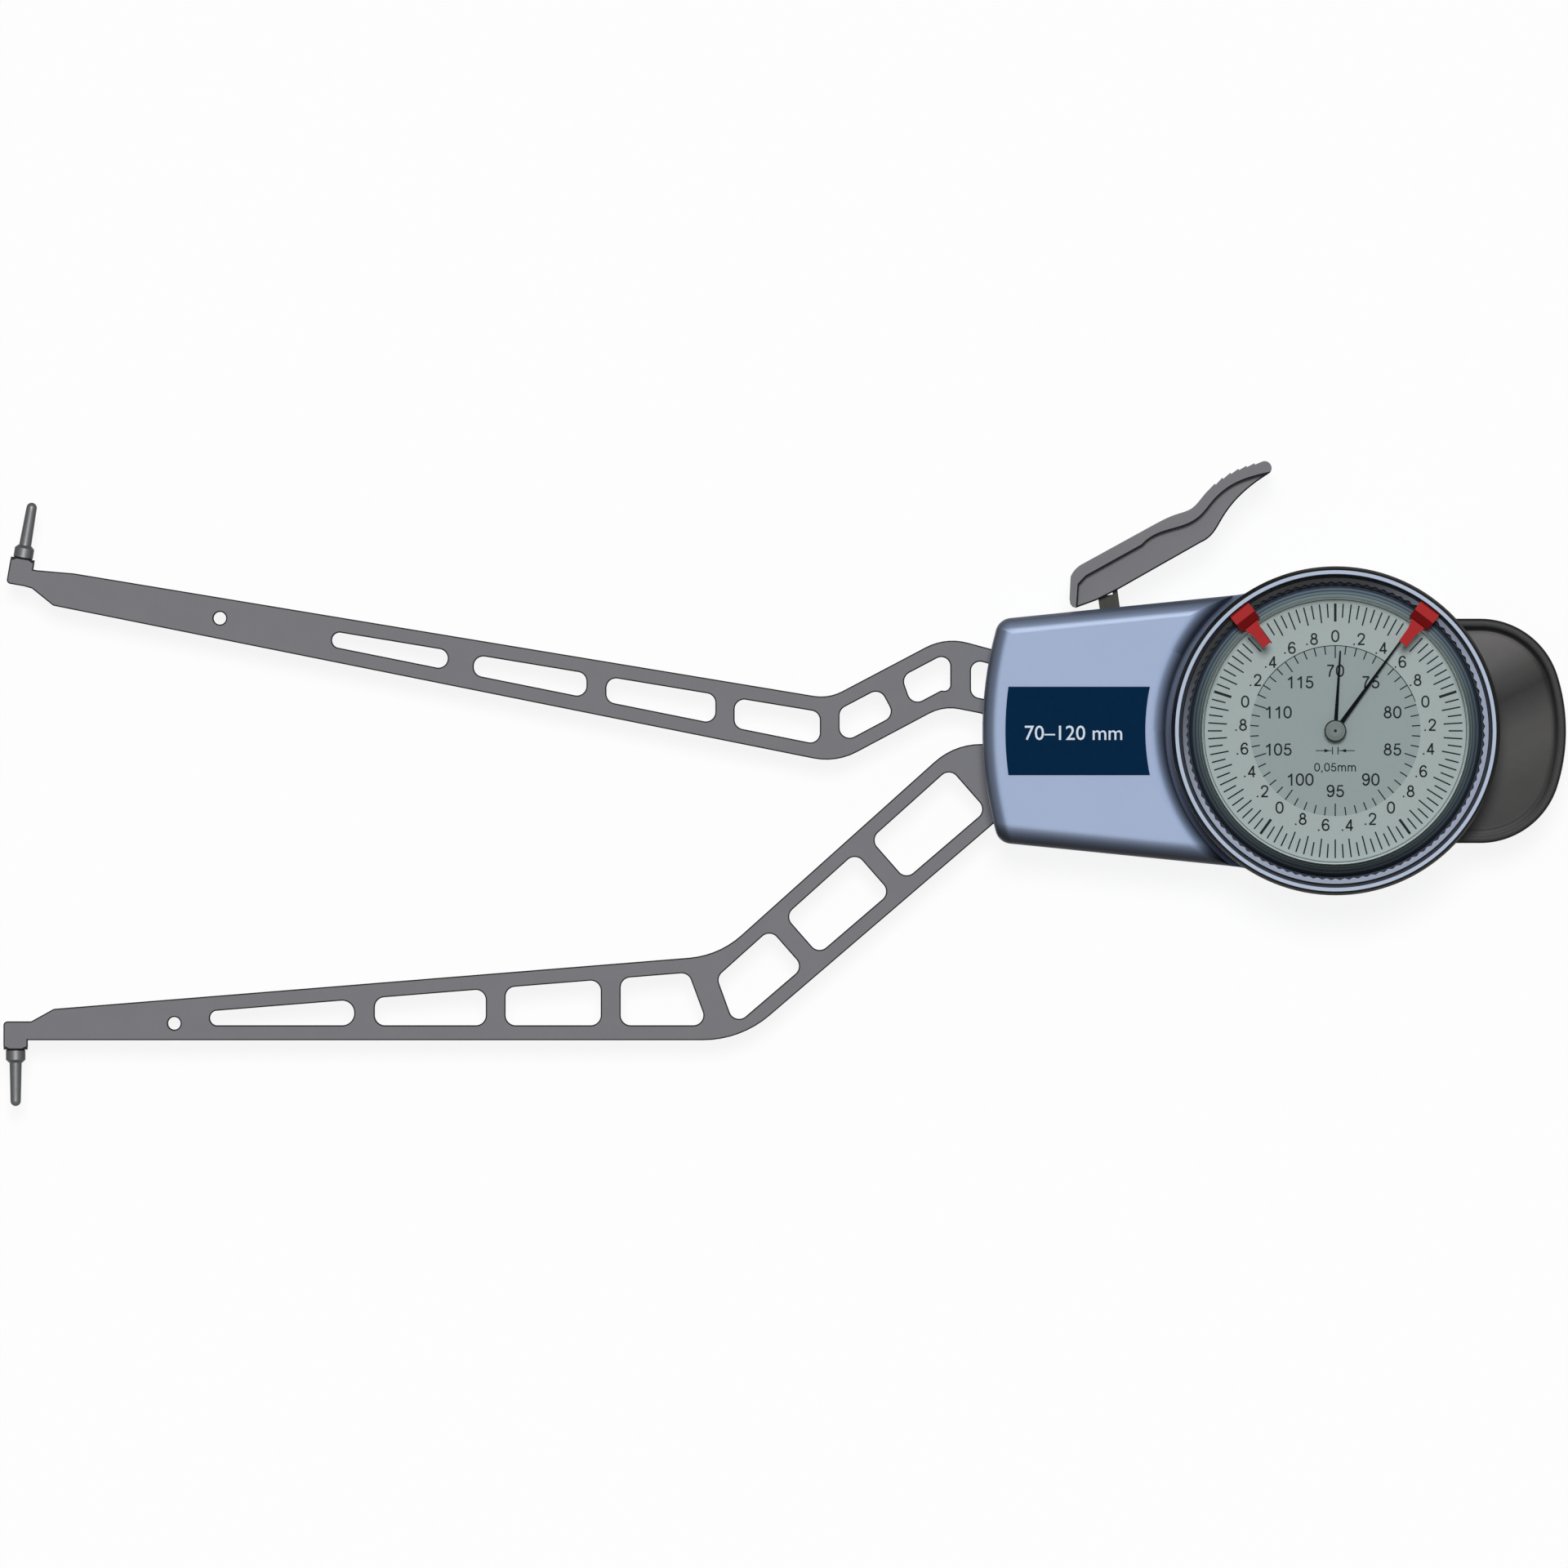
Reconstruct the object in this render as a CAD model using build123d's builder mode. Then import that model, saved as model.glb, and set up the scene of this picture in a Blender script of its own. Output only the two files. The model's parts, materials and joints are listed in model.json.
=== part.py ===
from build123d import *
import os
from math import acos, asin, atan2, cos, degrees, hypot, radians, sin, tan

# Inside caliper gauge, lying on its back, in millimetres.
# The origin is where the dial axis meets the plane that the gauge rests on.
# +Z is the dial axis, +X runs from the arms to the end grip and +Y to the side of the thumb lever.
# The gauge is modelled fully open, as it rests with the lever let go.

os.makedirs("parts", exist_ok=True)

# Wall thicknesses and the clearances that recur
wall = 2.5
cover_thickness = 2.0
loose_clearance = 0.3

# Heights, built up from the rest plane
chassis_pad_height = 2.5
chassis_thickness = 2.0
arm_lift = 2.0
arm_thickness = 4.0
arm_edge_chamfer = 0.25
sector_thickness = 1.5
wheel_gap = 0.6
wheel_thickness = 0.7
transfer_gap = 1.0
crank_thickness = 2.0
upper_plate_gap = 0.7
upper_plate_thickness = 1.2
spigot_height = 2.1
dial_thickness = 0.5
hand_thickness = 0.25
hand_spacing = 1.0
crystal_thickness = 2.2

chassis_bottom = cover_thickness + chassis_pad_height
chassis_top = chassis_bottom + chassis_thickness
arm_bottom = chassis_top + arm_lift
arm_top = arm_bottom + arm_thickness
arm_middle = (arm_bottom + arm_top) / 2
sector_top = arm_top + sector_thickness
wheel_bottom = sector_top + wheel_gap
wheel_top = wheel_bottom + wheel_thickness
crank_bottom = sector_top + wheel_gap
crank_top = crank_bottom + crank_thickness
transfer_bottom = wheel_top + transfer_gap
transfer_top = transfer_bottom + wheel_thickness
upper_plate_bottom = transfer_top + upper_plate_gap
upper_plate_top = upper_plate_bottom + upper_plate_thickness
spigot_bottom = upper_plate_top + loose_clearance
bezel_bottom = spigot_bottom + spigot_height
boss_top = bezel_bottom - loose_clearance
dial_bottom = bezel_bottom + 0.3
dial_top = dial_bottom + dial_thickness
short_hand_bottom = dial_top + 0.4
long_hand_bottom = short_hand_bottom + hand_spacing
crystal_bottom = long_hand_bottom + 1.7
crystal_top = crystal_bottom + crystal_thickness
deck_top = sector_top + 1.5 + wall
block_top = deck_top + 6.0

# Round sizes of the dial head, from the dial outwards
dial_radius = 27.0
inner_ring_width = 1.45
crystal_land = 0.75
channel_width = 0.25
serration_depth = 0.35
second_ring_width = 0.85
groove_width = 0.5
bezel_rim_width = 1.65
bezel_overhang = 0.5
spigot_wall = 1.5
spigot_clearance = 0.1
block_gap = 1.1

bezel_bore_radius = dial_radius + inner_ring_width
crystal_seat_radius = bezel_bore_radius + crystal_land
serration_inner_radius = crystal_seat_radius + channel_width
serration_outer_radius = serration_inner_radius + serration_depth
groove_inner_radius = serration_outer_radius + second_ring_width
groove_outer_radius = groove_inner_radius + groove_width
bezel_radius = groove_outer_radius + bezel_rim_width
spigot_inner_radius = dial_radius + 0.4
spigot_outer_radius = spigot_inner_radius + spigot_wall
bore_radius = spigot_outer_radius + spigot_clearance
case_radius = bezel_radius - bezel_overhang
block_rear_radius = bezel_radius + block_gap

# Housing plan: a front block that widens towards a round dial case
front_x = -70.3
front_corner = (-67.0, 22.3)
front_corner_radius = 3.2
side_slope = 5.8
waist_inset = 22.3
waist_x = waist_inset - case_radius
waist_radius = 12.0
block_edge_radius = 3.2

# Joint axes, seen from above
arm_pivot = (-56.0, 7.5)
lever_pivot = (-44.0, 18.0)
dial_axis = (0.0, 0.0)

# Gear train: sector to idler pinion, idler wheel to centre pinion, transfer gear to short hand wheel
sector_teeth = 260
pinion_teeth = 10
sector_module = 0.33
wheel_teeth = 100
wheel_module = 0.25
transfer_teeth = 55
idler_from_arm = (sector_teeth + pinion_teeth) * sector_module / 2
idler_from_dial = (wheel_teeth + pinion_teeth) * wheel_module / 2


def polar(centre, radius, angle):
    """Point at a radius and an angle in degrees from a centre."""
    return (centre[0] + radius * cos(radians(angle)), centre[1] + radius * sin(radians(angle)))


def direction(start, end):
    """Angle in degrees of the line from one point to another."""
    return degrees(atan2(end[1] - start[1], end[0] - start[0]))


def distance(start, end):
    """Distance between two points."""
    return hypot(end[0] - start[0], end[1] - start[1])


def shifted(line, offset_left):
    """A line (x, y, angle) moved sideways, to its left for a positive offset."""
    x, y, angle = line
    return (*polar((x, y), offset_left, angle + 90), angle)


def meet(first, second):
    """Point where two lines, each given as (x, y, angle), cross."""
    ax, ay, a = first
    bx, by, b = second
    run = ((bx - ax) * sin(radians(b)) - (by - ay) * cos(radians(b))) / sin(radians(b - a))
    return polar((ax, ay), run, a)


def square_to(line, run):
    """Line square to a line (x, y, angle), through the point at a run along it."""
    return (*polar(line[:2], run, line[2]), line[2] + 90)


def plan_through(corners):
    """Plan through (x, y, radius) corners, each rounded by its own radius."""
    with BuildSketch(mode=Mode.PRIVATE) as plan:
        with BuildLine():
            FilletPolyline(*[(x, y) for x, y, _ in corners], radius=[r for _, _, r in corners], close=True)
        make_face()
    return plan.sketch


def plan_inside(points):
    """Plan inside a closed line of straight sides through points."""
    with BuildSketch(mode=Mode.PRIVATE) as plan:
        with BuildLine():
            Polyline(*points, close=True)
        make_face()
    return plan.sketch


def window_corners(top, bottom, left, right, left_radius, right_radius):
    """Corners of a window between four lines (x, y, angle)."""
    return [
        (*meet(top, left), left_radius),
        (*meet(bottom, left), left_radius),
        (*meet(bottom, right), right_radius),
        (*meet(top, right), right_radius),
    ]


def tooth_points(centre, pitch_radius, pitch, middle, addendum, dedendum):
    """Outline of one straight-flanked tooth, its root 0.64 and its tip 0.24 of a pitch wide."""
    corners = ((-dedendum, -0.32), (addendum, -0.12), (addendum, 0.12), (-dedendum, 0.32))
    return [polar(centre, pitch_radius + height, middle + share * pitch) for height, share in corners]


def gear_outline(centre, teeth, module, middle, addendum=0.9, dedendum=1.1):
    """Outline of a whole gear with one tooth centred on the angle middle."""
    pitch = 360 / teeth
    points = []
    for number in range(teeth):
        points += tooth_points(
            centre, teeth * module / 2, pitch, middle + number * pitch, addendum * module, dedendum * module
        )
    return points


def level(height):
    """Horizontal plane at a height."""
    return Plane.XY.offset(height)


def prism(plan, bottom, top):
    """Solid of a plan between two heights."""
    with BuildPart(mode=Mode.PRIVATE) as solid:
        with BuildSketch(level(bottom)):
            add(plan)
        extrude(amount=top - bottom)
    return solid.part


def turned(centre, profile):
    """Solid turned about the vertical through a centre, from (radius, height) points."""
    with BuildPart(mode=Mode.PRIVATE) as solid:
        with BuildSketch(Plane((*centre, 0), x_dir=(1, 0, 0), z_dir=(0, -1, 0))):
            add(plan_inside(profile))
        revolve(axis=Axis((*centre, 0), (0, 0, 1)))
    return solid.part


def bars(places, radius, bottom, top):
    """Upright round bars at several places."""
    with BuildPart(mode=Mode.PRIVATE) as solid:
        with Locations(*[(x, y, bottom) for x, y in places]):
            Cylinder(radius, top - bottom, align=(Align.CENTER, Align.CENTER, Align.MIN))
    return solid.part


def ring(centre, inner, outer, bottom, top):
    """Flat ring round a centre."""
    return turned(centre, [(inner, bottom), (outer, bottom), (outer, top), (inner, top)])


def pin(centre, radius, bottom, top, edge=0.2):
    """Round pin with a small chamfer at its top."""
    return turned(
        centre, [(0, bottom), (radius, bottom), (radius, top - edge), (radius - edge, top), (0, top)]
    )


def save(piece, name):
    """Label a finished piece and write it as one STEP file."""
    piece.part.label = name
    export_step(piece.part, f"parts/{name}.step")


# Idler axis, where the circles round the arm pivot and the dial axis cross
arm_to_dial = distance(dial_axis, arm_pivot)
idler_swing = degrees(
    acos((arm_to_dial**2 + idler_from_dial**2 - idler_from_arm**2) / (2 * arm_to_dial * idler_from_dial))
)
idler_axis = polar(dial_axis, idler_from_dial, direction(dial_axis, arm_pivot) - idler_swing)
arm_to_idler_angle = direction(arm_pivot, idler_axis)
idler_to_dial_angle = direction(idler_axis, dial_axis)

# Drive pin of the lever crank. It crosses the line between the two pivots at mid-stroke.
closing_angle = 14.1
lever_ratio = 1.5
pivot_spacing = distance(arm_pivot, lever_pivot)
drive_pin_radius = 1.0
drive_pin_reach = pivot_spacing * lever_ratio / (1 + lever_ratio)
drive_pin_place = polar(arm_pivot, drive_pin_reach, direction(arm_pivot, lever_pivot) - closing_angle / 2)
fork_angle = direction(lever_pivot, drive_pin_place)

# Screws of the cover and the chassis
cover_screw_places = [
    (-63.0, 19.2),
    (-63.0, -19.2),
    (-30.0, 22.9),
    (-30.0, -22.9),
    (case_radius - 11.8, case_radius - 12.8),
    (case_radius - 11.8, 12.8 - case_radius),
]
cover_boss_radius = 2.6
cover_screw_radius = 1.25
cover_screw_head_radius = 2.4
cover_screw_length = 9.0
chassis_screw_places = [(-36.0, 13.0), (-36.0, -14.0), (10.0, 17.0), (10.0, -17.0)]
chassis_pad_radius = 3.6


def countersunk_body(place, length):
    """Body of a countersunk screw put in from the rest plane, its head flush."""
    return turned(
        place,
        [
            (0, 0),
            (cover_screw_head_radius, 0),
            (cover_screw_radius, cover_screw_head_radius - cover_screw_radius),
            (cover_screw_radius, length),
            (0, length),
        ],
    )


# Slot for the arms in the front wall and slot for the lever in the side wall
arm_slot_low = -19.9
arm_slot_high = 18.3
arm_slot_clearance = 0.4
lever_slot_left = -48.2
lever_slot_right = -38.6
lever_middle = sector_top - 0.5
lever_slot_height = 8.0


def block_plan(inset):
    """Front block seen from above, its sides moved in by inset, reaching into the dial case."""
    corner_x = front_corner[0] + inset
    corner_y = front_corner[1] - inset
    waist_y = front_corner[1] + (waist_x - front_corner[0]) * tan(radians(side_slope)) - inset
    with BuildSketch(mode=Mode.PRIVATE) as plan:
        with BuildLine():
            ThreePointArc((corner_x, -corner_y), (front_x + inset, 0), (corner_x, corner_y))
            Polyline((corner_x, corner_y), (waist_x, waist_y), (waist_x, -waist_y), (corner_x, -corner_y))
        make_face()
        fillet(plan.vertices().group_by(Axis.X)[0], max(front_corner_radius - inset, 0.7))
    return plan.sketch


def housing_plan(inset):
    """Whole housing seen from above, its sides moved in by inset."""
    with BuildSketch(mode=Mode.PRIVATE) as plan:
        add(block_plan(inset))
        Circle(case_radius - inset)
        fillet(plan.vertices().filter_by_position(Axis.X, front_corner[0] + 15, waist_x), waist_radius)
    return plan.sketch


# Screws that hold the end grip, put in from inside the case
grip_screw_angles = (-22.0, 22.0)
grip_screw_height = chassis_top + 3.5
grip_screw_radius = 1.2
grip_screw_head_radius = 2.2
grip_screw_head_height = 1.8
grip_screw_length = 6.0


def radial_plane(angle, radius, height):
    """Plane square to the radius of the dial case, facing outwards."""
    return Plane((*polar(dial_axis, radius, angle), height), z_dir=(*polar((0, 0), 1, angle), 0))


# Seal ring under the bezel, in a groove of the dial boss
seal_radius = (bore_radius + case_radius - loose_clearance) / 2
seal_wire_radius = 0.5
seal_groove_depth = 0.85

with BuildPart() as housing_shell:
    with BuildSketch(level(cover_thickness)):
        add(housing_plan(0))
    extrude(amount=deck_top - cover_thickness)
    with BuildSketch(level(deck_top)):
        add(block_plan(0))
        Circle(block_rear_radius, mode=Mode.SUBTRACT)
    extrude(amount=block_top - deck_top)
    fillet(housing_shell.faces().sort_by(Axis.Z)[-1].edges(), block_edge_radius)
    with BuildSketch(level(deck_top)):
        Circle(case_radius - loose_clearance)
    extrude(amount=boss_top - deck_top)
    with BuildSketch(level(cover_thickness)):
        add(housing_plan(wall))
    extrude(amount=deck_top - wall - cover_thickness, mode=Mode.SUBTRACT)
    with BuildSketch(level(deck_top - wall)):
        add(block_plan(wall))
        Circle(block_rear_radius + wall, mode=Mode.SUBTRACT)
    extrude(amount=block_top - deck_top, mode=Mode.SUBTRACT)
    add(bars([dial_axis], bore_radius, deck_top - wall, boss_top), mode=Mode.SUBTRACT)
    with BuildSketch(level(boss_top - seal_groove_depth)):
        Circle(seal_radius + seal_wire_radius + 0.05)
        Circle(seal_radius - seal_wire_radius - 0.05, mode=Mode.SUBTRACT)
    extrude(amount=seal_groove_depth, mode=Mode.SUBTRACT)
    with BuildSketch(level(cover_thickness)):
        with Locations(*cover_screw_places):
            Circle(cover_boss_radius)
        add(housing_plan(wall / 2), mode=Mode.INTERSECT)
    extrude(amount=deck_top - wall - cover_thickness)
    screw_holes = bars(cover_screw_places, cover_screw_radius, cover_thickness, cover_screw_length)
    add(screw_holes, mode=Mode.SUBTRACT)
    with BuildSketch(level(arm_bottom - arm_slot_clearance)):
        with Locations((front_x + wall, (arm_slot_low + arm_slot_high) / 2)):
            Rectangle(2 * wall + 0.3, arm_slot_high - arm_slot_low)
    extrude(amount=arm_thickness + 2 * arm_slot_clearance, mode=Mode.SUBTRACT)
    with BuildSketch(level(lever_middle - lever_slot_height / 2)):
        with Locations(((lever_slot_left + lever_slot_right) / 2, front_corner[1])):
            Rectangle(lever_slot_right - lever_slot_left, 4 * wall)
    extrude(amount=lever_slot_height, mode=Mode.SUBTRACT)
    for angle in grip_screw_angles:
        with BuildSketch(radial_plane(angle, bore_radius - 1, grip_screw_height)):
            Circle(grip_screw_radius)
        extrude(amount=case_radius - bore_radius + 2, mode=Mode.SUBTRACT)
save(housing_shell, "housing_shell")

# Back cover with a locating lip and pads that carry the chassis
lip_width = 1.5
lip_height = 1.5
lip_clearance = 0.15
cover_edge_chamfer = 0.8

with BuildPart() as back_cover:
    with BuildSketch():
        add(housing_plan(0))
    extrude(amount=cover_thickness)
    chamfer(back_cover.faces().sort_by(Axis.Z)[0].edges(), cover_edge_chamfer)
    with BuildSketch(level(cover_thickness)):
        add(housing_plan(wall + lip_clearance))
        add(housing_plan(wall + lip_clearance + lip_width), mode=Mode.SUBTRACT)
        with Locations(*cover_screw_places):
            Circle(cover_boss_radius + lip_clearance, mode=Mode.SUBTRACT)
    extrude(amount=lip_height)
    with BuildSketch(level(cover_thickness)):
        with Locations(*chassis_screw_places):
            Circle(chassis_pad_radius)
    extrude(amount=chassis_pad_height)
    for place in cover_screw_places + chassis_screw_places:
        add(countersunk_body(place, chassis_bottom), mode=Mode.SUBTRACT)
save(back_cover, "back_cover")


def cross_recesses(places, bottom, depth, size=2.6, width=0.5):
    """Crosses cut into screw heads."""
    with BuildPart(mode=Mode.PRIVATE) as solid:
        with BuildSketch(level(bottom)):
            with Locations(*places):
                Rectangle(size, width)
                Rectangle(width, size)
        extrude(amount=depth)
    return solid.part


with BuildPart() as cover_screws:
    for place in cover_screw_places:
        add(countersunk_body(place, cover_screw_length - 0.5))
    add(cross_recesses(cover_screw_places, 0, 0.7), mode=Mode.SUBTRACT)
save(cover_screws, "cover_screws")

with BuildPart() as chassis_screws:
    for place in chassis_screw_places:
        add(countersunk_body(place, chassis_top))
    add(cross_recesses(chassis_screw_places, 0, 0.7), mode=Mode.SUBTRACT)
save(chassis_screws, "chassis_screws")

# Name plate on the front block
plate_front_x = -65.2
plate_rear_x = -block_rear_radius - 3.1
plate_half_width = 8.8
plate_bow = 0.6
plate_thickness = 0.3

with BuildPart() as name_plate:
    with BuildSketch(level(block_top)):
        with BuildLine():
            ThreePointArc(
                (plate_front_x, -plate_half_width),
                (plate_front_x - plate_bow, 0),
                (plate_front_x, plate_half_width),
            )
            Line((plate_front_x, plate_half_width), (plate_rear_x, plate_half_width))
            ThreePointArc(
                (plate_rear_x, plate_half_width),
                (plate_rear_x - 1.5 * plate_bow, 0),
                (plate_rear_x, -plate_half_width),
            )
            Line((plate_rear_x, -plate_half_width), (plate_front_x, -plate_half_width))
        make_face()
    extrude(amount=plate_thickness)
save(name_plate, "name_plate")

# End grip behind the dial, with a raised rim round a dished panel
grip_reach = 13.8
grip_end_x = case_radius + grip_reach
grip_half_width = 22.4
grip_end_radius = 36.9
grip_corner_radius = 16.2
grip_start_x = 5.0
grip_top = deck_top + 1.0
grip_rim = 1.8
grip_dish_depth = 2.2
grip_edge_radius = 0.8
grip_dish_radius = 1.3


def grip_plan(inset):
    """D-shaped outline of the end grip, moved in by inset."""
    end_centre_x = grip_end_x - grip_end_radius
    half = grip_half_width - inset
    corner_x = end_centre_x + ((grip_end_radius - inset) ** 2 - half**2) ** 0.5
    with BuildSketch(mode=Mode.PRIVATE) as plan:
        with BuildLine():
            ThreePointArc((corner_x, half), (grip_end_x - inset, 0), (corner_x, -half))
            Polyline((corner_x, -half), (grip_start_x, -half), (grip_start_x, half), (corner_x, half))
        make_face()
        fillet(plan.vertices().group_by(Axis.X)[-1], grip_corner_radius - inset)
        Circle(case_radius, mode=Mode.SUBTRACT)
    return plan.sketch


with BuildPart() as end_grip:
    with BuildSketch(level(cover_thickness)):
        add(grip_plan(0))
    extrude(amount=grip_top - cover_thickness)
    with BuildSketch(level(grip_top - grip_dish_depth)):
        add(grip_plan(grip_rim))
    extrude(amount=grip_dish_depth, mode=Mode.SUBTRACT)
    rim_edges = end_grip.edges().filter_by(Plane.XY)
    rim_edges = rim_edges.filter_by_position(Axis.X, case_radius + 1, grip_end_x + 1)
    fillet(rim_edges.filter_by_position(Axis.Z, grip_top - 0.1, grip_top + 0.1), grip_edge_radius)
    dish_bottom = grip_top - grip_dish_depth
    dish_edges = end_grip.edges().filter_by(Plane.XY).filter_by_position(Axis.X, case_radius + 1, grip_end_x)
    fillet(dish_edges.filter_by_position(Axis.Z, dish_bottom - 0.1, dish_bottom + 0.1), grip_dish_radius)
    for angle in grip_screw_angles:
        with BuildSketch(radial_plane(angle, case_radius - 1, grip_screw_height)):
            Circle(grip_screw_radius)
        extrude(amount=grip_screw_length, mode=Mode.SUBTRACT)
save(end_grip, "end_grip")

with BuildPart() as grip_screws:
    for angle in grip_screw_angles:
        head_start = case_radius - wall - grip_screw_head_height
        with BuildSketch(radial_plane(angle, head_start, grip_screw_height)):
            Circle(grip_screw_head_radius)
        extrude(amount=grip_screw_head_height - 0.1)
        with BuildSketch(radial_plane(angle, case_radius - wall - 0.2, grip_screw_height)):
            Circle(grip_screw_radius)
        extrude(amount=grip_screw_length)
save(grip_screws, "grip_screws")

# Fixed arm: outer lines as (x, y, angle), a cranked plate that points to the low side
long_top = (-255.8, -55.5, 4.6)
long_bottom = (-263.4, -61.78, 0.0)
slant_top = (-119.1, -41.35, 41.9)
slant_bottom = (-68.3, -18.7, 40.6)
root_top = (-60.0, -2.6, 0.0)
root_bottom = (-60.0, -12.5, 0.0)
root_end_x = -44.0
rail = 3.0
arm_hole_radius = 1.25

# Contact pins and collars, and the round bosses of the arms that hold them
contact_block_half_width = 2.42
contact_block_corner = 0.8
contact_bore_radius = 1.0
contact_bore_depth = 4.0
fixed_contact = (-263.4, -63.64, -90.0)
moving_contact = (-261.95, 34.45, 80.2)

# Fastenings of the fixed arm and the post of the return spring
arm_screw_places = [(-49.0, -7.6), (-61.0, -7.6)]
arm_screw_radius = 1.4
arm_screw_head_radius = 2.6
arm_screw_head_height = 1.6
dowel_place = (-55.5, -10.4)
dowel_radius = 1.0
spring_post_place = (-56.0, -5.6)
spring_pin_place = polar(arm_pivot, 8.0, 150)
sector_screw_places = [polar(arm_pivot, 5.3, angle) for angle in (100, 220)]
sector_screw_radius = 0.8

# Pins of the arm pivot and the lever pivot
arm_spigot_radius = 2.0
arm_journal_radius = 2.5
arm_collar_radius = 4.5
bush_radius = 3.5
lever_journal_radius = 1.5
lever_column_radius = 2.6

# Stop pin, just clear of the sector's lower edge when the gauge is open
sector_edge_angle = -17.5
stop_pin_radius = 1.5
stop_pin_reach = 25.0
stop_pin_gap = 0.1
stop_pin_place = polar(
    arm_pivot,
    stop_pin_reach,
    sector_edge_angle - degrees(asin((stop_pin_radius + stop_pin_gap) / stop_pin_reach)),
)

# Pillars and arbors of the movement
upper_plate_radius = spigot_inner_radius - 0.9
pillar_inset = 3.0
pillar_places = [polar(dial_axis, upper_plate_radius - pillar_inset, angle) for angle in (75, -30, -125)]
pillar_radius = 2.0
pillar_spigot_radius = 1.2
arbor_journal_radius = 0.5
arbor_bush_radius = 1.2
hairspring_stud_place = polar(idler_axis, 6.3, 70)

chassis_clearance = 0.4

with BuildPart() as chassis_plate:
    add(prism(housing_plan(wall + chassis_clearance), chassis_bottom, chassis_top))
    with BuildSketch(level(chassis_top)):
        with Locations((-55.5, -7.5)):
            RectangleRounded(21, 8, 1.5)
    extrude(amount=arm_lift)
    for places, radius in (
        (cover_screw_places, cover_boss_radius + chassis_clearance),
        (chassis_screw_places, cover_screw_radius),
        (arm_screw_places, arm_screw_radius),
        ([dowel_place], dowel_radius),
        ([arm_pivot], arm_spigot_radius),
        ([lever_pivot, stop_pin_place], stop_pin_radius),
        (pillar_places, pillar_spigot_radius),
        ([idler_axis, dial_axis], arbor_bush_radius),
    ):
        add(bars(places, radius, chassis_bottom, arm_bottom), mode=Mode.SUBTRACT)
save(chassis_plate, "chassis_plate")


def contact_plane(station):
    """Plane through the axis of a contact, x upwards and y along the axis towards the tip."""
    x, y, angle = station
    return Plane((x, y, arm_middle), x_dir=(0, 0, 1), z_dir=(-sin(radians(angle)), cos(radians(angle)), 0))


def contact_axis(station):
    """Axis of a contact."""
    x, y, angle = station
    return Axis((x, y, arm_middle), (cos(radians(angle)), sin(radians(angle)), 0))


def contact_solid(station, profile):
    """Solid turned about the axis of a contact, from (radius, run) points."""
    with BuildPart(mode=Mode.PRIVATE) as solid:
        with BuildSketch(contact_plane(station)):
            add(plan_inside(profile))
        revolve(axis=contact_axis(station))
    return solid.part


def contact_block_plan(station, length):
    """Plan of the block at the end of an arm that carries a contact, its far corners rounded."""
    x, y, angle = station
    half = contact_block_half_width
    far = polar((x, y), -length, angle)
    return plan_through(
        [
            (*polar((x, y), half, angle + 90), 0),
            (*polar(far, half, angle + 90), contact_block_corner),
            (*polar(far, half, angle - 90), contact_block_corner),
            (*polar((x, y), half, angle - 90), 0),
        ]
    )


def contact_block_turning(station):
    """Ring that is turned off the corners of the block, down to a short round neck."""
    half = contact_block_half_width
    return contact_solid(
        station, [(half + 0.9, -1.0), (half, -0.35), (half, 0.5), (half + 1.5, 0.5), (half + 1.5, -1.0)]
    )


def contact_bore(station):
    """Bore for the shank of a contact."""
    radius = contact_bore_radius
    depth = contact_bore_depth
    return contact_solid(station, [(0, -depth), (radius, -depth), (radius, 1), (0, 1)])


def fixed_arm_window(left, right, left_radius=2.0, right_radius=2.0):
    """Window between the rails of the long part of the fixed arm."""
    return plan_through(
        window_corners(
            shifted(long_top, -rail), shifted(long_bottom, rail), left, right, left_radius, right_radius
        )
    )


def slant_window(left, right):
    """Window between the rails of the slanting part of the fixed arm."""
    return plan_through(
        window_corners(shifted(slant_top, -rail), shifted(slant_bottom, rail), left, right, 2.0, 2.0)
    )


slant_middle = (-120.0, -52.0, 41.25)

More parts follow.
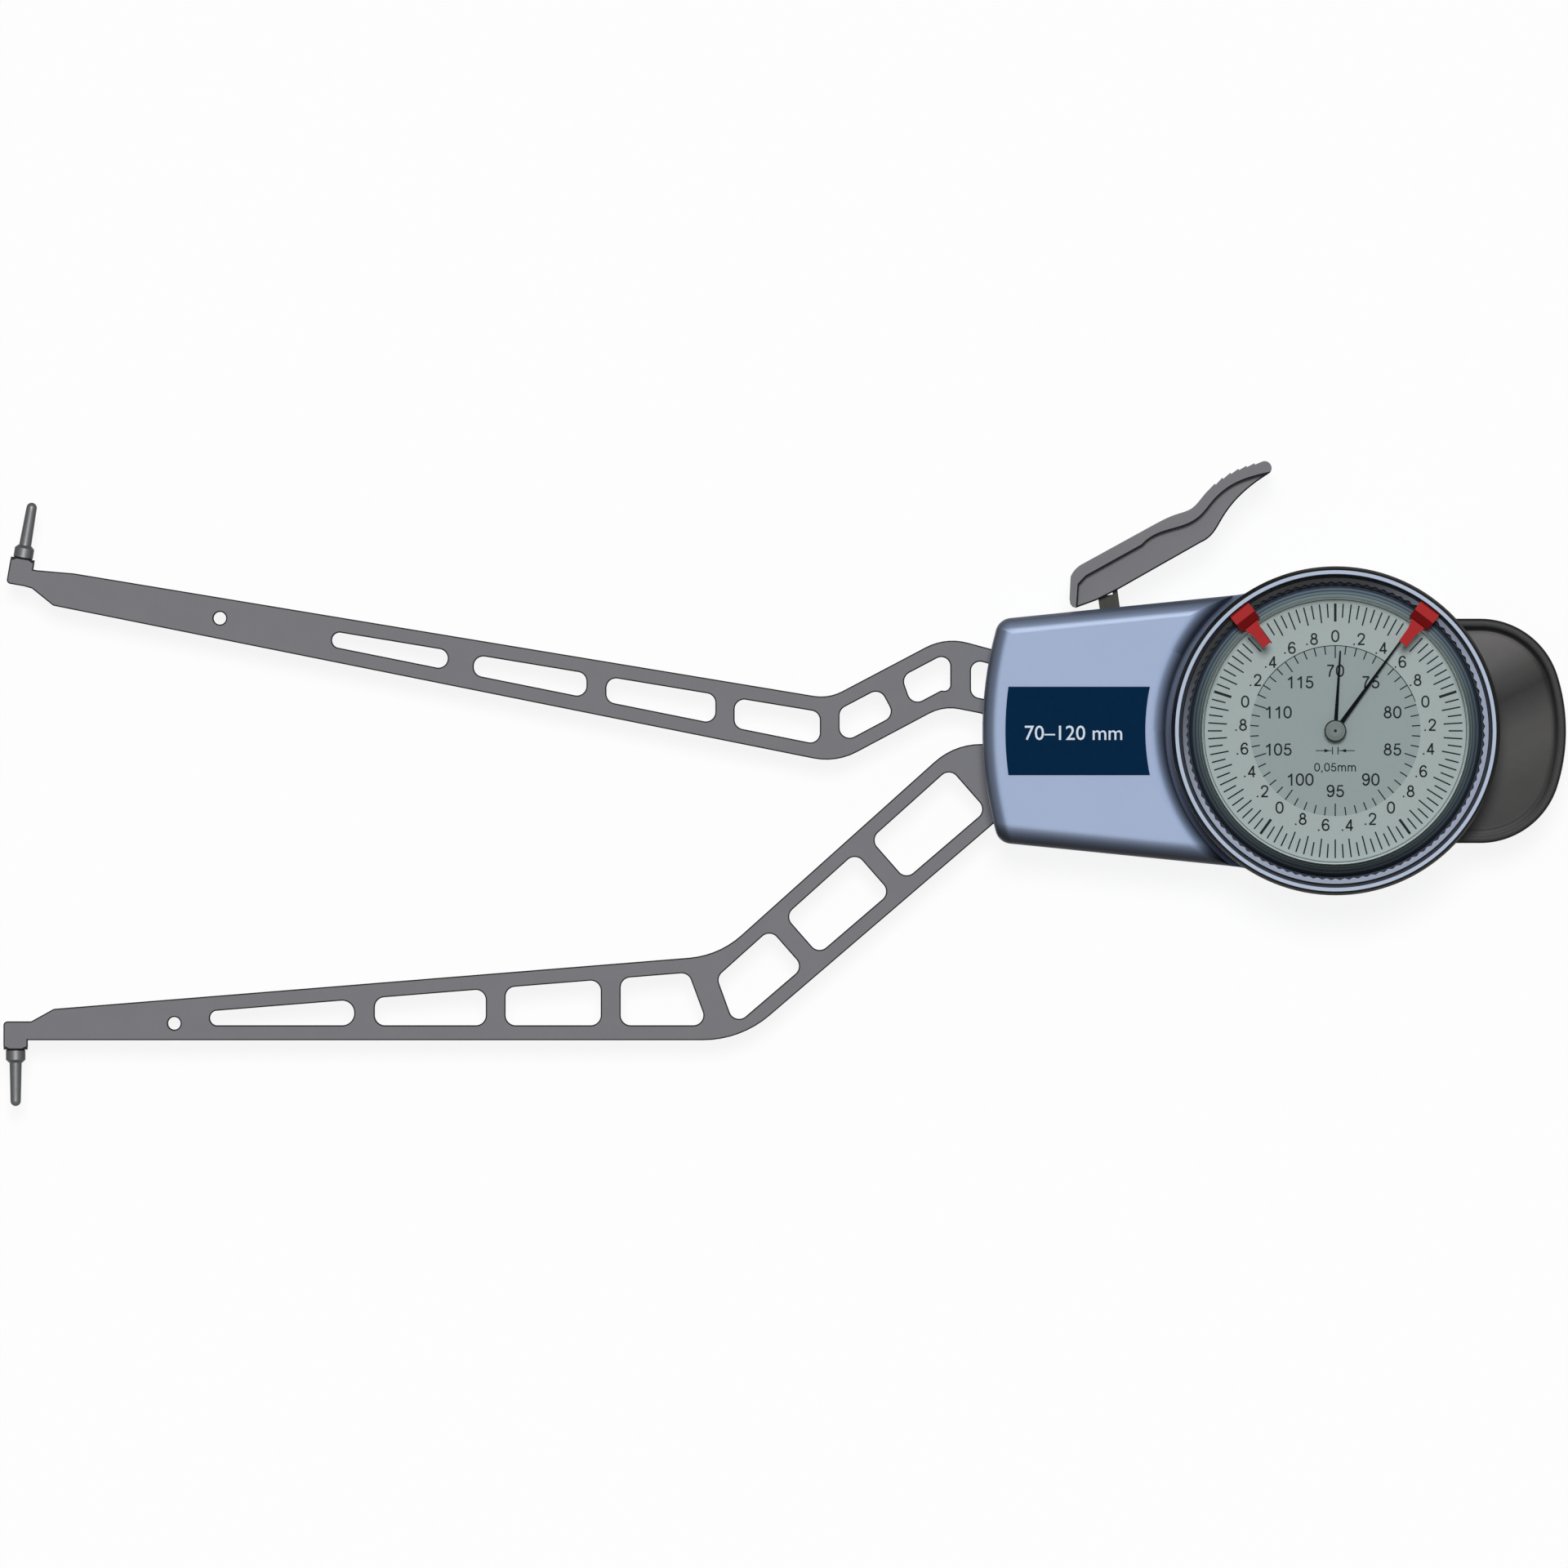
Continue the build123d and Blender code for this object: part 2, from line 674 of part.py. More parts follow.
with BuildPart() as fixed_arm:
    with BuildSketch(level(arm_bottom)):
        add(
            plan_through(
                [
                    (long_bottom[0], -58.0, 0),
                    (-260.3, -58.0, 0.8),
                    (*long_top[:2], 1.0),
                    (*meet(long_top, slant_top), 17.8),
                    (*meet(slant_top, root_top), 13.8),
                    (root_end_x, root_top[1], 3.0),
                    (root_end_x, root_bottom[1], 3.0),
                    (*meet(root_bottom, slant_bottom), 4.0),
                    (*meet(slant_bottom, long_bottom), 20.5),
                    (*long_bottom[:2], 0),
                ]
            )
        )
        add(contact_block_plan(fixed_contact, 5.64))
        add(fixed_arm_window((-224.56, 0, 90), (-195.78, 0, 90), 1.4, 2.4), mode=Mode.SUBTRACT)
        add(fixed_arm_window((-191.66, 0, 90), (-169.5, 0, 90)), mode=Mode.SUBTRACT)
        add(fixed_arm_window((-165.55, 0, 90), (-146.55, 0, 90)), mode=Mode.SUBTRACT)
        add(fixed_arm_window((-142.56, 0, 90), (-127.7, -52.0, 110.3)), mode=Mode.SUBTRACT)
        add(slant_window((-122.32, -52.0, 110.0), square_to(slant_middle, 13.6)), mode=Mode.SUBTRACT)
        add(slant_window(square_to(slant_middle, 17.66), square_to(slant_middle, 36.52)), mode=Mode.SUBTRACT)
        add(slant_window(square_to(slant_middle, 40.58), square_to(slant_middle, 61.78)), mode=Mode.SUBTRACT)
        with Locations((-231.7, -58.4)):
            Circle(arm_hole_radius, mode=Mode.SUBTRACT)
        with Locations(*arm_screw_places):
            Circle(arm_screw_radius, mode=Mode.SUBTRACT)
        with Locations(dowel_place, spring_post_place):
            Circle(dowel_radius, mode=Mode.SUBTRACT)
    extrude(amount=arm_thickness)
    chamfer(fixed_arm.faces().filter_by(Plane.XY).edges(), arm_edge_chamfer)
    add(contact_block_turning(fixed_contact), mode=Mode.SUBTRACT)
    add(contact_bore(fixed_contact), mode=Mode.SUBTRACT)
save(fixed_arm, "fixed_arm")

# Movable arm: outer lines as (x, y, angle), from the contact back to the pivot
tip_top = (-104.0, 7.0, -9.4)
tip_bottom = (-104.9, -5.35, -11.37)
rise_top = (-98.0, 8.1, 27.8)
rise_bottom = (-95.5, -4.3, 28.0)
hub_top = (-72.0, 17.3, -15.0)
hub_bottom = (-70.8, 3.5, -11.3)
hub_radius = 8.5
ear_radius = 2.4


def tip_window(left_x, right_x, left_radius=1.9, right_radius=1.9):
    """Window between the rails of the long part of the movable arm."""
    return plan_through(
        window_corners(
            shifted(tip_top, -rail),
            shifted(tip_bottom, rail),
            (left_x, 0, 90),
            (right_x, 0, 90),
            left_radius,
            right_radius,
        )
    )


with BuildPart() as moving_arm:
    with BuildSketch(level(arm_bottom)):
        add(
            plan_through(
                [
                    (-262.3, 32.7, 0),
                    (-259.2, 32.1, 0.8),
                    (-251.75, 31.46, 1.0),
                    (*meet(tip_top, rise_top), 9.0),
                    (*meet(rise_top, hub_top), 11.5),
                    (-68.0, 16.2, 2.0),
                    (-56.0, 15.9, 0),
                    (-56.0, -1.0, 0),
                    (-60.5, -0.2, 2.0),
                    (-70.8, 3.5, 3.0),
                    (*meet(hub_bottom, rise_bottom), 9.0),
                    (*meet(rise_bottom, tip_bottom), 13.0),
                    (-255.9, 25.0, 1.0),
                    (-260.1, 28.4, 0),
                    (-262.8, 29.2, 0),
                ]
            )
        )
        add(contact_block_plan(moving_contact, 5.45))
        with Locations(arm_pivot):
            Circle(hub_radius)
        with Locations(drive_pin_place):
            Circle(ear_radius)
        add(tip_window(-200.2, -177.1, 1.5, 1.85), mode=Mode.SUBTRACT)
        add(tip_window(-171.9, -149.4), mode=Mode.SUBTRACT)
        add(tip_window(-145.4, -123.66), mode=Mode.SUBTRACT)
        add(tip_window(-119.8, -102.8), mode=Mode.SUBTRACT)
        rise_ceiling = shifted(rise_top, -rail)
        rise_floor = shifted(rise_bottom, rail)
        hub_ceiling = shifted(hub_top, -rail)
        hub_floor = shifted(hub_bottom, rail)
        add(
            plan_through(
                window_corners(rise_ceiling, rise_floor, (-98.85, 0, 90), (-89.56, 6.15, 118.0), 2.0, 2.0)
            ),
            mode=Mode.SUBTRACT,
        )
        add(
            plan_through(
                [
                    (*meet(rise_ceiling, (-86.37, 10.67, 109.3)), 2.0),
                    (*meet(rise_floor, (-86.37, 10.67, 109.3)), 2.0),
                    (*meet(rise_floor, hub_floor), 0.9),
                    (*meet(hub_floor, (-76.75, 0, 90)), 1.2),
                    (*meet(rise_ceiling, (-76.75, 0, 90)), 1.8),
                ]
            ),
            mode=Mode.SUBTRACT,
        )
        add(
            plan_through(window_corners(hub_ceiling, hub_floor, (-72.6, 0, 90), (-66.5, 0, 90), 1.8, 1.8)),
            mode=Mode.SUBTRACT,
        )
        with Locations((-222.6, 22.5)):
            Circle(arm_hole_radius, mode=Mode.SUBTRACT)
        with Locations(arm_pivot):
            Circle(bush_radius, mode=Mode.SUBTRACT)
        with Locations(drive_pin_place):
            Circle(drive_pin_radius, mode=Mode.SUBTRACT)
        with Locations(spring_pin_place, *sector_screw_places):
            Circle(sector_screw_radius, mode=Mode.SUBTRACT)
    extrude(amount=arm_thickness)
    outer_edges = moving_arm.faces().filter_by(Plane.XY).edges().filter_by_position(Axis.X, -300, front_x)
    chamfer(outer_edges, arm_edge_chamfer)
    add(contact_block_turning(moving_contact), mode=Mode.SUBTRACT)
    add(contact_bore(moving_contact), mode=Mode.SUBTRACT)
save(moving_arm, "moving_arm")

# Contact collars and pins, the same on both arms
collar_radius = 1.965
collar_length = 2.61
contact_root_radius = 1.225
contact_tip_radius = 1.05
contact_length = 11.29


def contact_collar(station):
    """Collar between the boss and the contact pin."""
    return contact_solid(
        station,
        [
            (contact_bore_radius, 0),
            (collar_radius - 0.2, 0),
            (collar_radius, 0.2),
            (collar_radius, collar_length - 0.6),
            (collar_radius - 0.6, collar_length),
            (contact_bore_radius, collar_length),
        ],
    )


def contact_pin(station):
    """Contact pin with a shank in the boss and a round end."""
    with BuildPart(mode=Mode.PRIVATE) as solid:
        with BuildSketch(contact_plane(station)):
            with BuildLine():
                Polyline(
                    (0, contact_length - 2 * contact_tip_radius),
                    (0, -contact_bore_depth),
                    (contact_bore_radius, -contact_bore_depth),
                    (contact_bore_radius, collar_length),
                    (contact_root_radius, collar_length),
                    (contact_tip_radius, contact_length - contact_tip_radius),
                )
                CenterArc((0, contact_length - contact_tip_radius), contact_tip_radius, 0, 90)
                Line((0, contact_length), (0, contact_length - 2 * contact_tip_radius))
            make_face()
        revolve(axis=contact_axis(station))
    return solid.part


with BuildPart() as fixed_contact_collar:
    add(contact_collar(fixed_contact))
save(fixed_contact_collar, "fixed_contact_collar")

with BuildPart() as fixed_contact_pin:
    add(contact_pin(fixed_contact))
save(fixed_contact_pin, "fixed_contact_pin")

with BuildPart() as moving_contact_collar:
    add(contact_collar(moving_contact))
save(moving_contact_collar, "moving_contact_collar")

with BuildPart() as moving_contact_pin:
    add(contact_pin(moving_contact))
save(moving_contact_pin, "moving_contact_pin")

with BuildPart() as fixed_arm_screws:
    for place in arm_screw_places:
        add(
            turned(
                place,
                [
                    (0, chassis_bottom + 0.2),
                    (arm_screw_radius, chassis_bottom + 0.2),
                    (arm_screw_radius, arm_top),
                    (arm_screw_head_radius, arm_top),
                    (arm_screw_head_radius, arm_top + arm_screw_head_height - 0.3),
                    (arm_screw_head_radius - 0.3, arm_top + arm_screw_head_height),
                    (0, arm_top + arm_screw_head_height),
                ],
            )
        )
    add(cross_recesses(arm_screw_places, arm_top + arm_screw_head_height - 0.9, 0.9), mode=Mode.SUBTRACT)
save(fixed_arm_screws, "fixed_arm_screws")

with BuildPart() as fixed_arm_dowel:
    add(pin(dowel_place, dowel_radius, chassis_bottom + 0.2, arm_top - 0.1))
save(fixed_arm_dowel, "fixed_arm_dowel")

with BuildPart() as stop_pin:
    add(pin(stop_pin_place, stop_pin_radius, chassis_bottom, sector_top + 0.5))
save(stop_pin, "stop_pin")

# Arm pivot: pin in the chassis, bush in the arm, retaining ring above
journal_clearance = 0.04
arm_collar_top = arm_bottom - 0.3
circlip_bottom = sector_top + 0.4
circlip_thickness = 0.6
circlip_groove_depth = 0.4
arm_pin_top = crank_bottom + 2.2

with BuildPart() as arm_pivot_pin:
    add(
        turned(
            arm_pivot,
            [
                (0, chassis_bottom),
                (arm_spigot_radius, chassis_bottom),
                (arm_spigot_radius, chassis_top),
                (arm_collar_radius, chassis_top),
                (arm_collar_radius, arm_collar_top),
                (arm_journal_radius, arm_collar_top),
                (arm_journal_radius, circlip_bottom),
                (arm_journal_radius - circlip_groove_depth, circlip_bottom),
                (arm_journal_radius - circlip_groove_depth, circlip_bottom + circlip_thickness),
                (arm_journal_radius, circlip_bottom + circlip_thickness),
                (arm_journal_radius, arm_pin_top - 0.4),
                (arm_journal_radius - 0.4, arm_pin_top),
                (0, arm_pin_top),
            ],
        )
    )
save(arm_pivot_pin, "arm_pivot_pin")

with BuildPart() as pivot_bush:
    add(
        ring(
            arm_pivot,
            arm_journal_radius + journal_clearance,
            bush_radius,
            arm_collar_top + 0.1,
            sector_top + 0.2,
        )
    )
save(pivot_bush, "pivot_bush")


def circlip(centre, inner, outer, bottom, thickness, opening):
    """Retaining ring with an opening on one side, given as an angle."""
    with BuildPart(mode=Mode.PRIVATE) as clip:
        add(ring(centre, inner, outer, bottom, bottom + thickness))
        with Locations(Location((*centre, bottom), (0, 0, opening))):
            Box(
                2 * outer,
                1.4 * inner,
                3 * thickness,
                align=(Align.MIN, Align.CENTER, Align.CENTER),
                mode=Mode.SUBTRACT,
            )
    return clip.part


with BuildPart() as arm_circlip:
    add(
        circlip(
            arm_pivot,
            arm_journal_radius - circlip_groove_depth,
            4.3,
            circlip_bottom,
            circlip_thickness,
            -90,
        )
    )
save(arm_circlip, "arm_circlip")

# Gear sector on the movable arm, its lower edge a radial line that rests by the stop pin
sector_pitch = 360 / sector_teeth
sector_radius = sector_teeth * sector_module / 2
sector_root_radius = sector_radius - 1.1 * sector_module
sector_upper_angle = 2.4
sector_screw_head_radius = 1.4


def sector_plan():
    """Hub and web of the sector with its row of teeth."""
    rim = [polar(arm_pivot, sector_root_radius, sector_edge_angle)]
    for number in range(-11, 2):
        rim += tooth_points(
            arm_pivot,
            sector_radius,
            sector_pitch,
            arm_to_idler_angle + number * sector_pitch,
            0.9 * sector_module,
            1.1 * sector_module,
        )
    rim += [polar(arm_pivot, sector_root_radius, sector_upper_angle)]
    lower_slot = [(16.0, -14.6), (38.0, -15.9), (38.0, -9.3), (16.0, -10.2)]
    upper_slot = [(16.0, -5.6), (38.0, -5.6), (38.0, 1.0), (16.0, -1.4)]
    with BuildSketch(mode=Mode.PRIVATE) as plan:
        add(plan_inside([arm_pivot] + rim))
        with Locations(arm_pivot):
            Circle(7.0)
            Circle(bush_radius, mode=Mode.SUBTRACT)
        for slot in (lower_slot, upper_slot):
            corners = [(*polar(arm_pivot, radius, angle), 0.4) for radius, angle in slot]
            add(plan_through(corners), mode=Mode.SUBTRACT)
        with Locations(drive_pin_place):
            Circle(ear_radius, mode=Mode.SUBTRACT)
    return plan.sketch


with BuildPart() as gear_sector:
    add(prism(sector_plan(), arm_top, sector_top))
    for place in sector_screw_places:
        add(
            turned(
                place,
                [
                    (0, arm_top),
                    (sector_screw_radius, arm_top),
                    (sector_screw_radius, sector_top - 0.6),
                    (sector_screw_head_radius, sector_top),
                    (0, sector_top),
                ],
            ),
            mode=Mode.SUBTRACT,
        )
save(gear_sector, "gear_sector")

# Screws that hold the sector, tapped into the arm
sector_screw_depth = 3.0

with BuildPart() as sector_screws:
    for place in sector_screw_places:
        add(
            turned(
                place,
                [
                    (0, arm_top - sector_screw_depth),
                    (sector_screw_radius, arm_top - sector_screw_depth),
                    (sector_screw_radius, sector_top - 0.6),
                    (sector_screw_head_radius, sector_top),
                    (0, sector_top),
                ],
            )
        )
    add(cross_recesses(sector_screw_places, sector_top - 0.4, 0.4, 1.8, 0.35), mode=Mode.SUBTRACT)
save(sector_screws, "sector_screws")

with BuildPart() as drive_pin:
    add(pin(drive_pin_place, drive_pin_radius, arm_bottom, crank_top))
save(drive_pin, "drive_pin")

# Lever: pivot pin, crank driven by the drive pin, and the thumb lever outside the housing
lever_stem_angle = 98.0
lever_pin_place = polar(lever_pivot, 8.4, lever_stem_angle)
lever_pin_radius = 0.6
lever_circlip_bottom = crank_top + 0.2
lever_circlip_thickness = 0.5
tongue_width = 2.0
stem_width = 4.0
tongue_bottom = crank_top - 5.0

with BuildPart() as lever_pivot_pin:
    add(
        turned(
            lever_pivot,
            [
                (0, chassis_bottom),
                (lever_journal_radius, chassis_bottom),
                (lever_journal_radius, chassis_top),
                (lever_column_radius, chassis_top),
                (lever_column_radius, crank_bottom - 0.2),
                (lever_journal_radius, crank_bottom - 0.2),
                (lever_journal_radius, lever_circlip_bottom),
                (lever_journal_radius - 0.3, lever_circlip_bottom),
                (lever_journal_radius - 0.3, lever_circlip_bottom + lever_circlip_thickness),
                (lever_journal_radius, lever_circlip_bottom + lever_circlip_thickness),
                (lever_journal_radius, crank_top + 0.9),
                (lever_journal_radius - 0.2, crank_top + 1.1),
                (0, crank_top + 1.1),
            ],
        )
    )
save(lever_pivot_pin, "lever_pivot_pin")

with BuildPart() as lever_circlip:
    add(
        circlip(
            lever_pivot,
            lever_journal_radius - 0.3,
            2.8,
            lever_circlip_bottom,
            lever_circlip_thickness,
            10,
        )
    )
save(lever_circlip, "lever_circlip")


def bar_plan(start, angle, near, far, width):
    """Straight bar along an angle from a centre, between two reaches."""
    with BuildSketch(mode=Mode.PRIVATE) as plan:
        with Locations(Location((*polar(start, (near + far) / 2, angle), 0), (0, 0, angle))):
            Rectangle(far - near, width)
    return plan.sketch


fork_slot_width = 2 * drive_pin_radius + 0.3

with BuildPart() as lever_crank:
    with BuildSketch(level(crank_bottom)):
        with Locations(lever_pivot):
            Circle(3.6)
        add(bar_plan(lever_pivot, fork_angle, 0, 8.2, fork_slot_width + 2.6))
        add(bar_plan(lever_pivot, fork_angle, 4.9, 9.0, fork_slot_width), mode=Mode.SUBTRACT)
        add(bar_plan(lever_pivot, lever_stem_angle, 0, 5.5, 3.0))
    extrude(amount=crank_thickness)
    add(prism(bar_plan(lever_pivot, lever_stem_angle, 3.4, 9.2, tongue_width), tongue_bottom, crank_top))
    add(
        bars([lever_pivot], lever_journal_radius + journal_clearance, crank_bottom, crank_top),
        mode=Mode.SUBTRACT,
    )
    stem_side = Plane(
        (*lever_pin_place, lever_middle),
        z_dir=(*polar((0, 0), 1, lever_stem_angle + 90), 0),
    )
    with BuildSketch(stem_side):
        Circle(lever_pin_radius)
    extrude(amount=stem_width, both=True, mode=Mode.SUBTRACT)
save(lever_crank, "lever_crank")

# Fork moulded into the foot of the thumb lever, its two cheeks beside the tongue of the crank
fork_near = 5.7
fork_far = 13.5
fork_slot_end = 9.6
cheek_bottom = lever_middle - 3.1
cheek_top = lever_middle + 3.3

fork_block = prism(
    bar_plan(lever_pivot, lever_stem_angle, fork_near, fork_far, stem_width), cheek_bottom, cheek_top
)

with BuildPart() as lever_fork:
    add(fork_block)
    add(
        prism(
            bar_plan(lever_pivot, lever_stem_angle, fork_near - 1, fork_slot_end, tongue_width),
            cheek_bottom,
            cheek_top,
        ),
        mode=Mode.SUBTRACT,
    )
    with BuildSketch(stem_side):
        Circle(lever_pin_radius)
    extrude(amount=stem_width, both=True, mode=Mode.SUBTRACT)
save(lever_fork, "lever_fork")

# Thumb lever outline: points of its upper edge, lower edge and the underside of its flange
lever_upper = [(-38.4, 39.9), (-35.0, 41.75), (-31.7, 43.2), (-28.6, 44.4), (-25.5, 47.76)]
grip_crests = [
    (-25.5, 47.76),
    (-24.0, 49.3),
    (-22.5, 50.5),
    (-20.9, 51.5),
    (-19.3, 52.3),
    (-17.7, 52.9),
    (-16.1, 53.4),
    (-14.5, 53.75),
]
lever_tip = [(-14.5, 53.75), (-12.8, 53.0), (-13.1, 51.4)]
lever_slope = 28.7
lever_back_line = 51.5
lever_heel_line = -52.0
lever_heel = [(-51.6, 24.6), (-52.3, 24.8), (-52.75, 25.4), (-52.9, 26.4), (-52.7, 30.8)]
lever_lower = [(-13.1, 51.4), (-16.7, 48.9), (-20.0, 45.8), (-22.6, 42.2), (-24.2, 39.6), (-26.65, 37.65)]
flange_under = [
    (-13.1, 51.4),
    (-16.7, 50.5),
    (-20.5, 48.9),
    (-24.2, 45.8),
    (-26.65, 42.9),
    (-28.8, 41.4),
    (-33.3, 39.9),
    (-38.4, 37.0),
]
grip_step_depth = 0.3
web_half_depth = 5.0
lever_edge_chamfer = 0.3
lever_short_edge = 2.0
flange_half_depth = 7.0


def grip_points():
    """Saw-tooth points of the grip steps, with a drop after each crest but the first and the last."""
    points = []
    for before, crest in zip(grip_crests, grip_crests[1:]):
        points += [crest, polar(crest, grip_step_depth, direction(before, crest) - 90)]
    return points[:-1]


def lever_edge_plan(lower_edge_points, lower_spline):
    """Plan between the upper edge of the lever and a lower edge."""
    with BuildSketch(mode=Mode.PRIVATE) as plan:
        with BuildLine():
            ThreePointArc(lower_edge_points[-1], (-52.0, 32.0), (-50.7, 33.15))
            Line((-50.7, 33.15), lever_upper[0])
            Spline(*lever_upper, tangents=[(0.877, 0.48), (0.7, 0.714)])
            Polyline(grip_crests[0], *grip_points())
            ThreePointArc(*lever_tip)
            Spline(*lower_spline)
            Polyline(lower_spline[-1], *lower_edge_points)
        make_face()
    return plan.sketch


def is_lever_underside(edge):
    """Whether an edge is a long one on the underside of the lever."""
    middle = edge.center()
    across = middle.Y * cos(radians(lever_slope)) - middle.X * sin(radians(lever_slope))
    return edge.length > lever_short_edge and across < lever_back_line and middle.X > lever_heel_line


def lever_slab(plan, half_depth):
    """Slab of the lever about its middle height, the rims of its underside broken."""
    with BuildPart(mode=Mode.PRIVATE) as slab:
        add(prism(plan, lever_middle - half_depth, lever_middle + half_depth))
        rims = slab.faces().filter_by(Plane.XY).edges()
        chamfer(rims.filter_by(is_lever_underside), lever_edge_chamfer)
    return slab.part


lever_web_foot = [(-43.3, 28.2), (-47.5, 26.1)] + lever_heel
lever_flange_foot = [(-44.9, 33.4), (-49.6, 30.8), (-51.1, 29.2), (-51.4, 24.9)] + lever_heel

with BuildPart() as thumb_lever:
    add(lever_slab(lever_edge_plan(lever_web_foot, lever_lower), web_half_depth))
    add(lever_slab(lever_edge_plan(lever_flange_foot, flange_under), flange_half_depth))
    add(fork_block, mode=Mode.SUBTRACT)
save(thumb_lever, "thumb_lever")

with BuildPart() as lever_pin:
    with BuildSketch(stem_side):
        Circle(lever_pin_radius)
    extrude(amount=stem_width / 2, both=True)
save(lever_pin, "lever_pin")

# Return spring: torsion coil round the arm pivot with one leg on the arm and one on its post
coil_radius = 5.3
spring_wire_radius = 0.4
coil_pitch = 0.95
coil_start = sector_top + 1.1
spring_pin_radius = 0.8
arm_leg_offset = coil_radius + spring_wire_radius + spring_pin_radius
post_leg_offset = coil_radius + spring_wire_radius + dowel_radius
arm_leg_end_angle = direction(arm_pivot, spring_pin_place) - degrees(
    acos(arm_leg_offset / distance(arm_pivot, spring_pin_place))
)
post_leg_end_angle = direction(arm_pivot, spring_post_place) + degrees(
    acos(post_leg_offset / distance(arm_pivot, spring_post_place))
)
coil_turns = 2 + (arm_leg_end_angle - post_leg_end_angle) / 360
coil_height = coil_turns * coil_pitch

with BuildPart() as return_spring:
    with BuildLine() as spring_path:
        coil = Helix(
            pitch=coil_pitch,
            height=coil_height,
            radius=coil_radius,
        )
        Line(coil @ 1, coil @ 1 + (coil % 1) * 6.2)
        Line(coil @ 0 - (coil % 0) * 13.2, coil @ 0)
    with BuildSketch(Plane(spring_path.line @ 0, z_dir=spring_path.line % 0)):
        Circle(spring_wire_radius)
    sweep(path=spring_path.line, is_frenet=True)
coil_place = (*arm_pivot, coil_start)
return_spring.part = return_spring.part.rotate(Axis.Z, post_leg_end_angle).translate(coil_place)
save(return_spring, "return_spring")

spring_post_top = coil_start + coil_height + 1.0

with BuildPart() as spring_post:
    add(pin(spring_post_place, dowel_radius, arm_bottom, spring_post_top))
save(spring_post, "spring_post")

with BuildPart() as spring_pin:
    add(pin(spring_pin_place, spring_pin_radius, arm_bottom, spring_post_top))
save(spring_pin, "spring_pin")

# Idler: arbor with its pinion, wheel and transfer gear
arbor_radius = 0.8
arbor_seat_radius = 0.9
journal_bottom = chassis_bottom + 0.1
journal_shoulder = chassis_top + 0.4
idler_pinion_bottom = arm_top - 0.3
idler_pinion_top = sector_top + 0.4
collet_bottom = chassis_top + 2.7
collet_top = collet_bottom + 1.6
collet_radius = 1.1
wheel_hub_radius = 2.0


def pinion_plan(centre, module, mesh_angle):
    """Pinion with a gap centred on the direction of its mate."""
    gap_shift = 180 / pinion_teeth
    return plan_inside(gear_outline(centre, pinion_teeth, module, mesh_angle + gap_shift, 0.75, 1.2))


def wheel_plan(centre, teeth, module, tooth_angle, window_inner, window_outer, spokes):
    """Wheel with one tooth at an angle, its web pierced between spokes."""
    with BuildSketch(mode=Mode.PRIVATE) as plan:
        add(plan_inside(gear_outline(centre, teeth, module, tooth_angle)))
        if spokes:
            with BuildSketch(mode=Mode.PRIVATE) as opening:
                with Locations(centre):
                    Circle(window_outer)
                    Circle(window_inner, mode=Mode.SUBTRACT)
                for number in range(spokes):
                    spoke = bar_plan(centre, number * 360 / spokes + 20, 0, window_outer + 1, 1.1)
                    add(spoke, mode=Mode.SUBTRACT)
            add(opening.sketch, mode=Mode.SUBTRACT)
    return plan.sketch


with BuildPart() as idler_arbor:
    add(
        turned(
            idler_axis,
            [
                (0, journal_bottom),
                (arbor_journal_radius, journal_bottom),
                (arbor_journal_radius, journal_shoulder),
                (arbor_radius, journal_shoulder),
                (arbor_radius, collet_bottom),
                (collet_radius, collet_bottom),
                (collet_radius, collet_top),
                (arbor_radius, collet_top),
                (arbor_radius, idler_pinion_top),
                (arbor_seat_radius, idler_pinion_top),
                (arbor_seat_radius, upper_plate_bottom - 0.4),
                (arbor_journal_radius, upper_plate_bottom - 0.4),
                (arbor_journal_radius, upper_plate_top - 0.2),
                (0, upper_plate_top - 0.2),
            ],
        )
    )
    add(
        prism(
            pinion_plan(idler_axis, sector_module, arm_to_idler_angle + 180),
            idler_pinion_bottom,
            idler_pinion_top,
        )
    )
save(idler_arbor, "idler_arbor")

with BuildPart() as idler_wheel:
    add(
        prism(
            wheel_plan(idler_axis, wheel_teeth, wheel_module, idler_to_dial_angle, 3.6, 10.2, 4),
            wheel_bottom,
            wheel_top,
        )
    )
    add(bars([idler_axis], wheel_hub_radius, wheel_bottom, transfer_bottom - 0.2))
    add(bars([idler_axis], arbor_seat_radius, wheel_bottom, transfer_bottom), mode=Mode.SUBTRACT)
save(idler_wheel, "idler_wheel")

with BuildPart() as transfer_gear:
    add(
        prism(
            wheel_plan(idler_axis, transfer_teeth, wheel_module, idler_to_dial_angle, 2.4, 5.4, 3),
            transfer_bottom,
            transfer_top,
        )
    )
    add(bars([idler_axis], arbor_seat_radius, transfer_bottom, transfer_top), mode=Mode.SUBTRACT)
save(transfer_gear, "transfer_gear")

# Centre arbor with its pinion, which carries the long hand
centre_shaft_radius = 0.6
centre_arbor_radius = 0.7
centre_pinion_bottom = wheel_bottom - 0.2
centre_pinion_top = wheel_top + 0.3
centre_arbor_top = long_hand_bottom + 0.7
pipe_bottom = centre_pinion_top + 0.3
pipe_radius = 1.3
pipe_bore_radius = centre_shaft_radius + 0.08
pipe_top = short_hand_bottom + 0.4

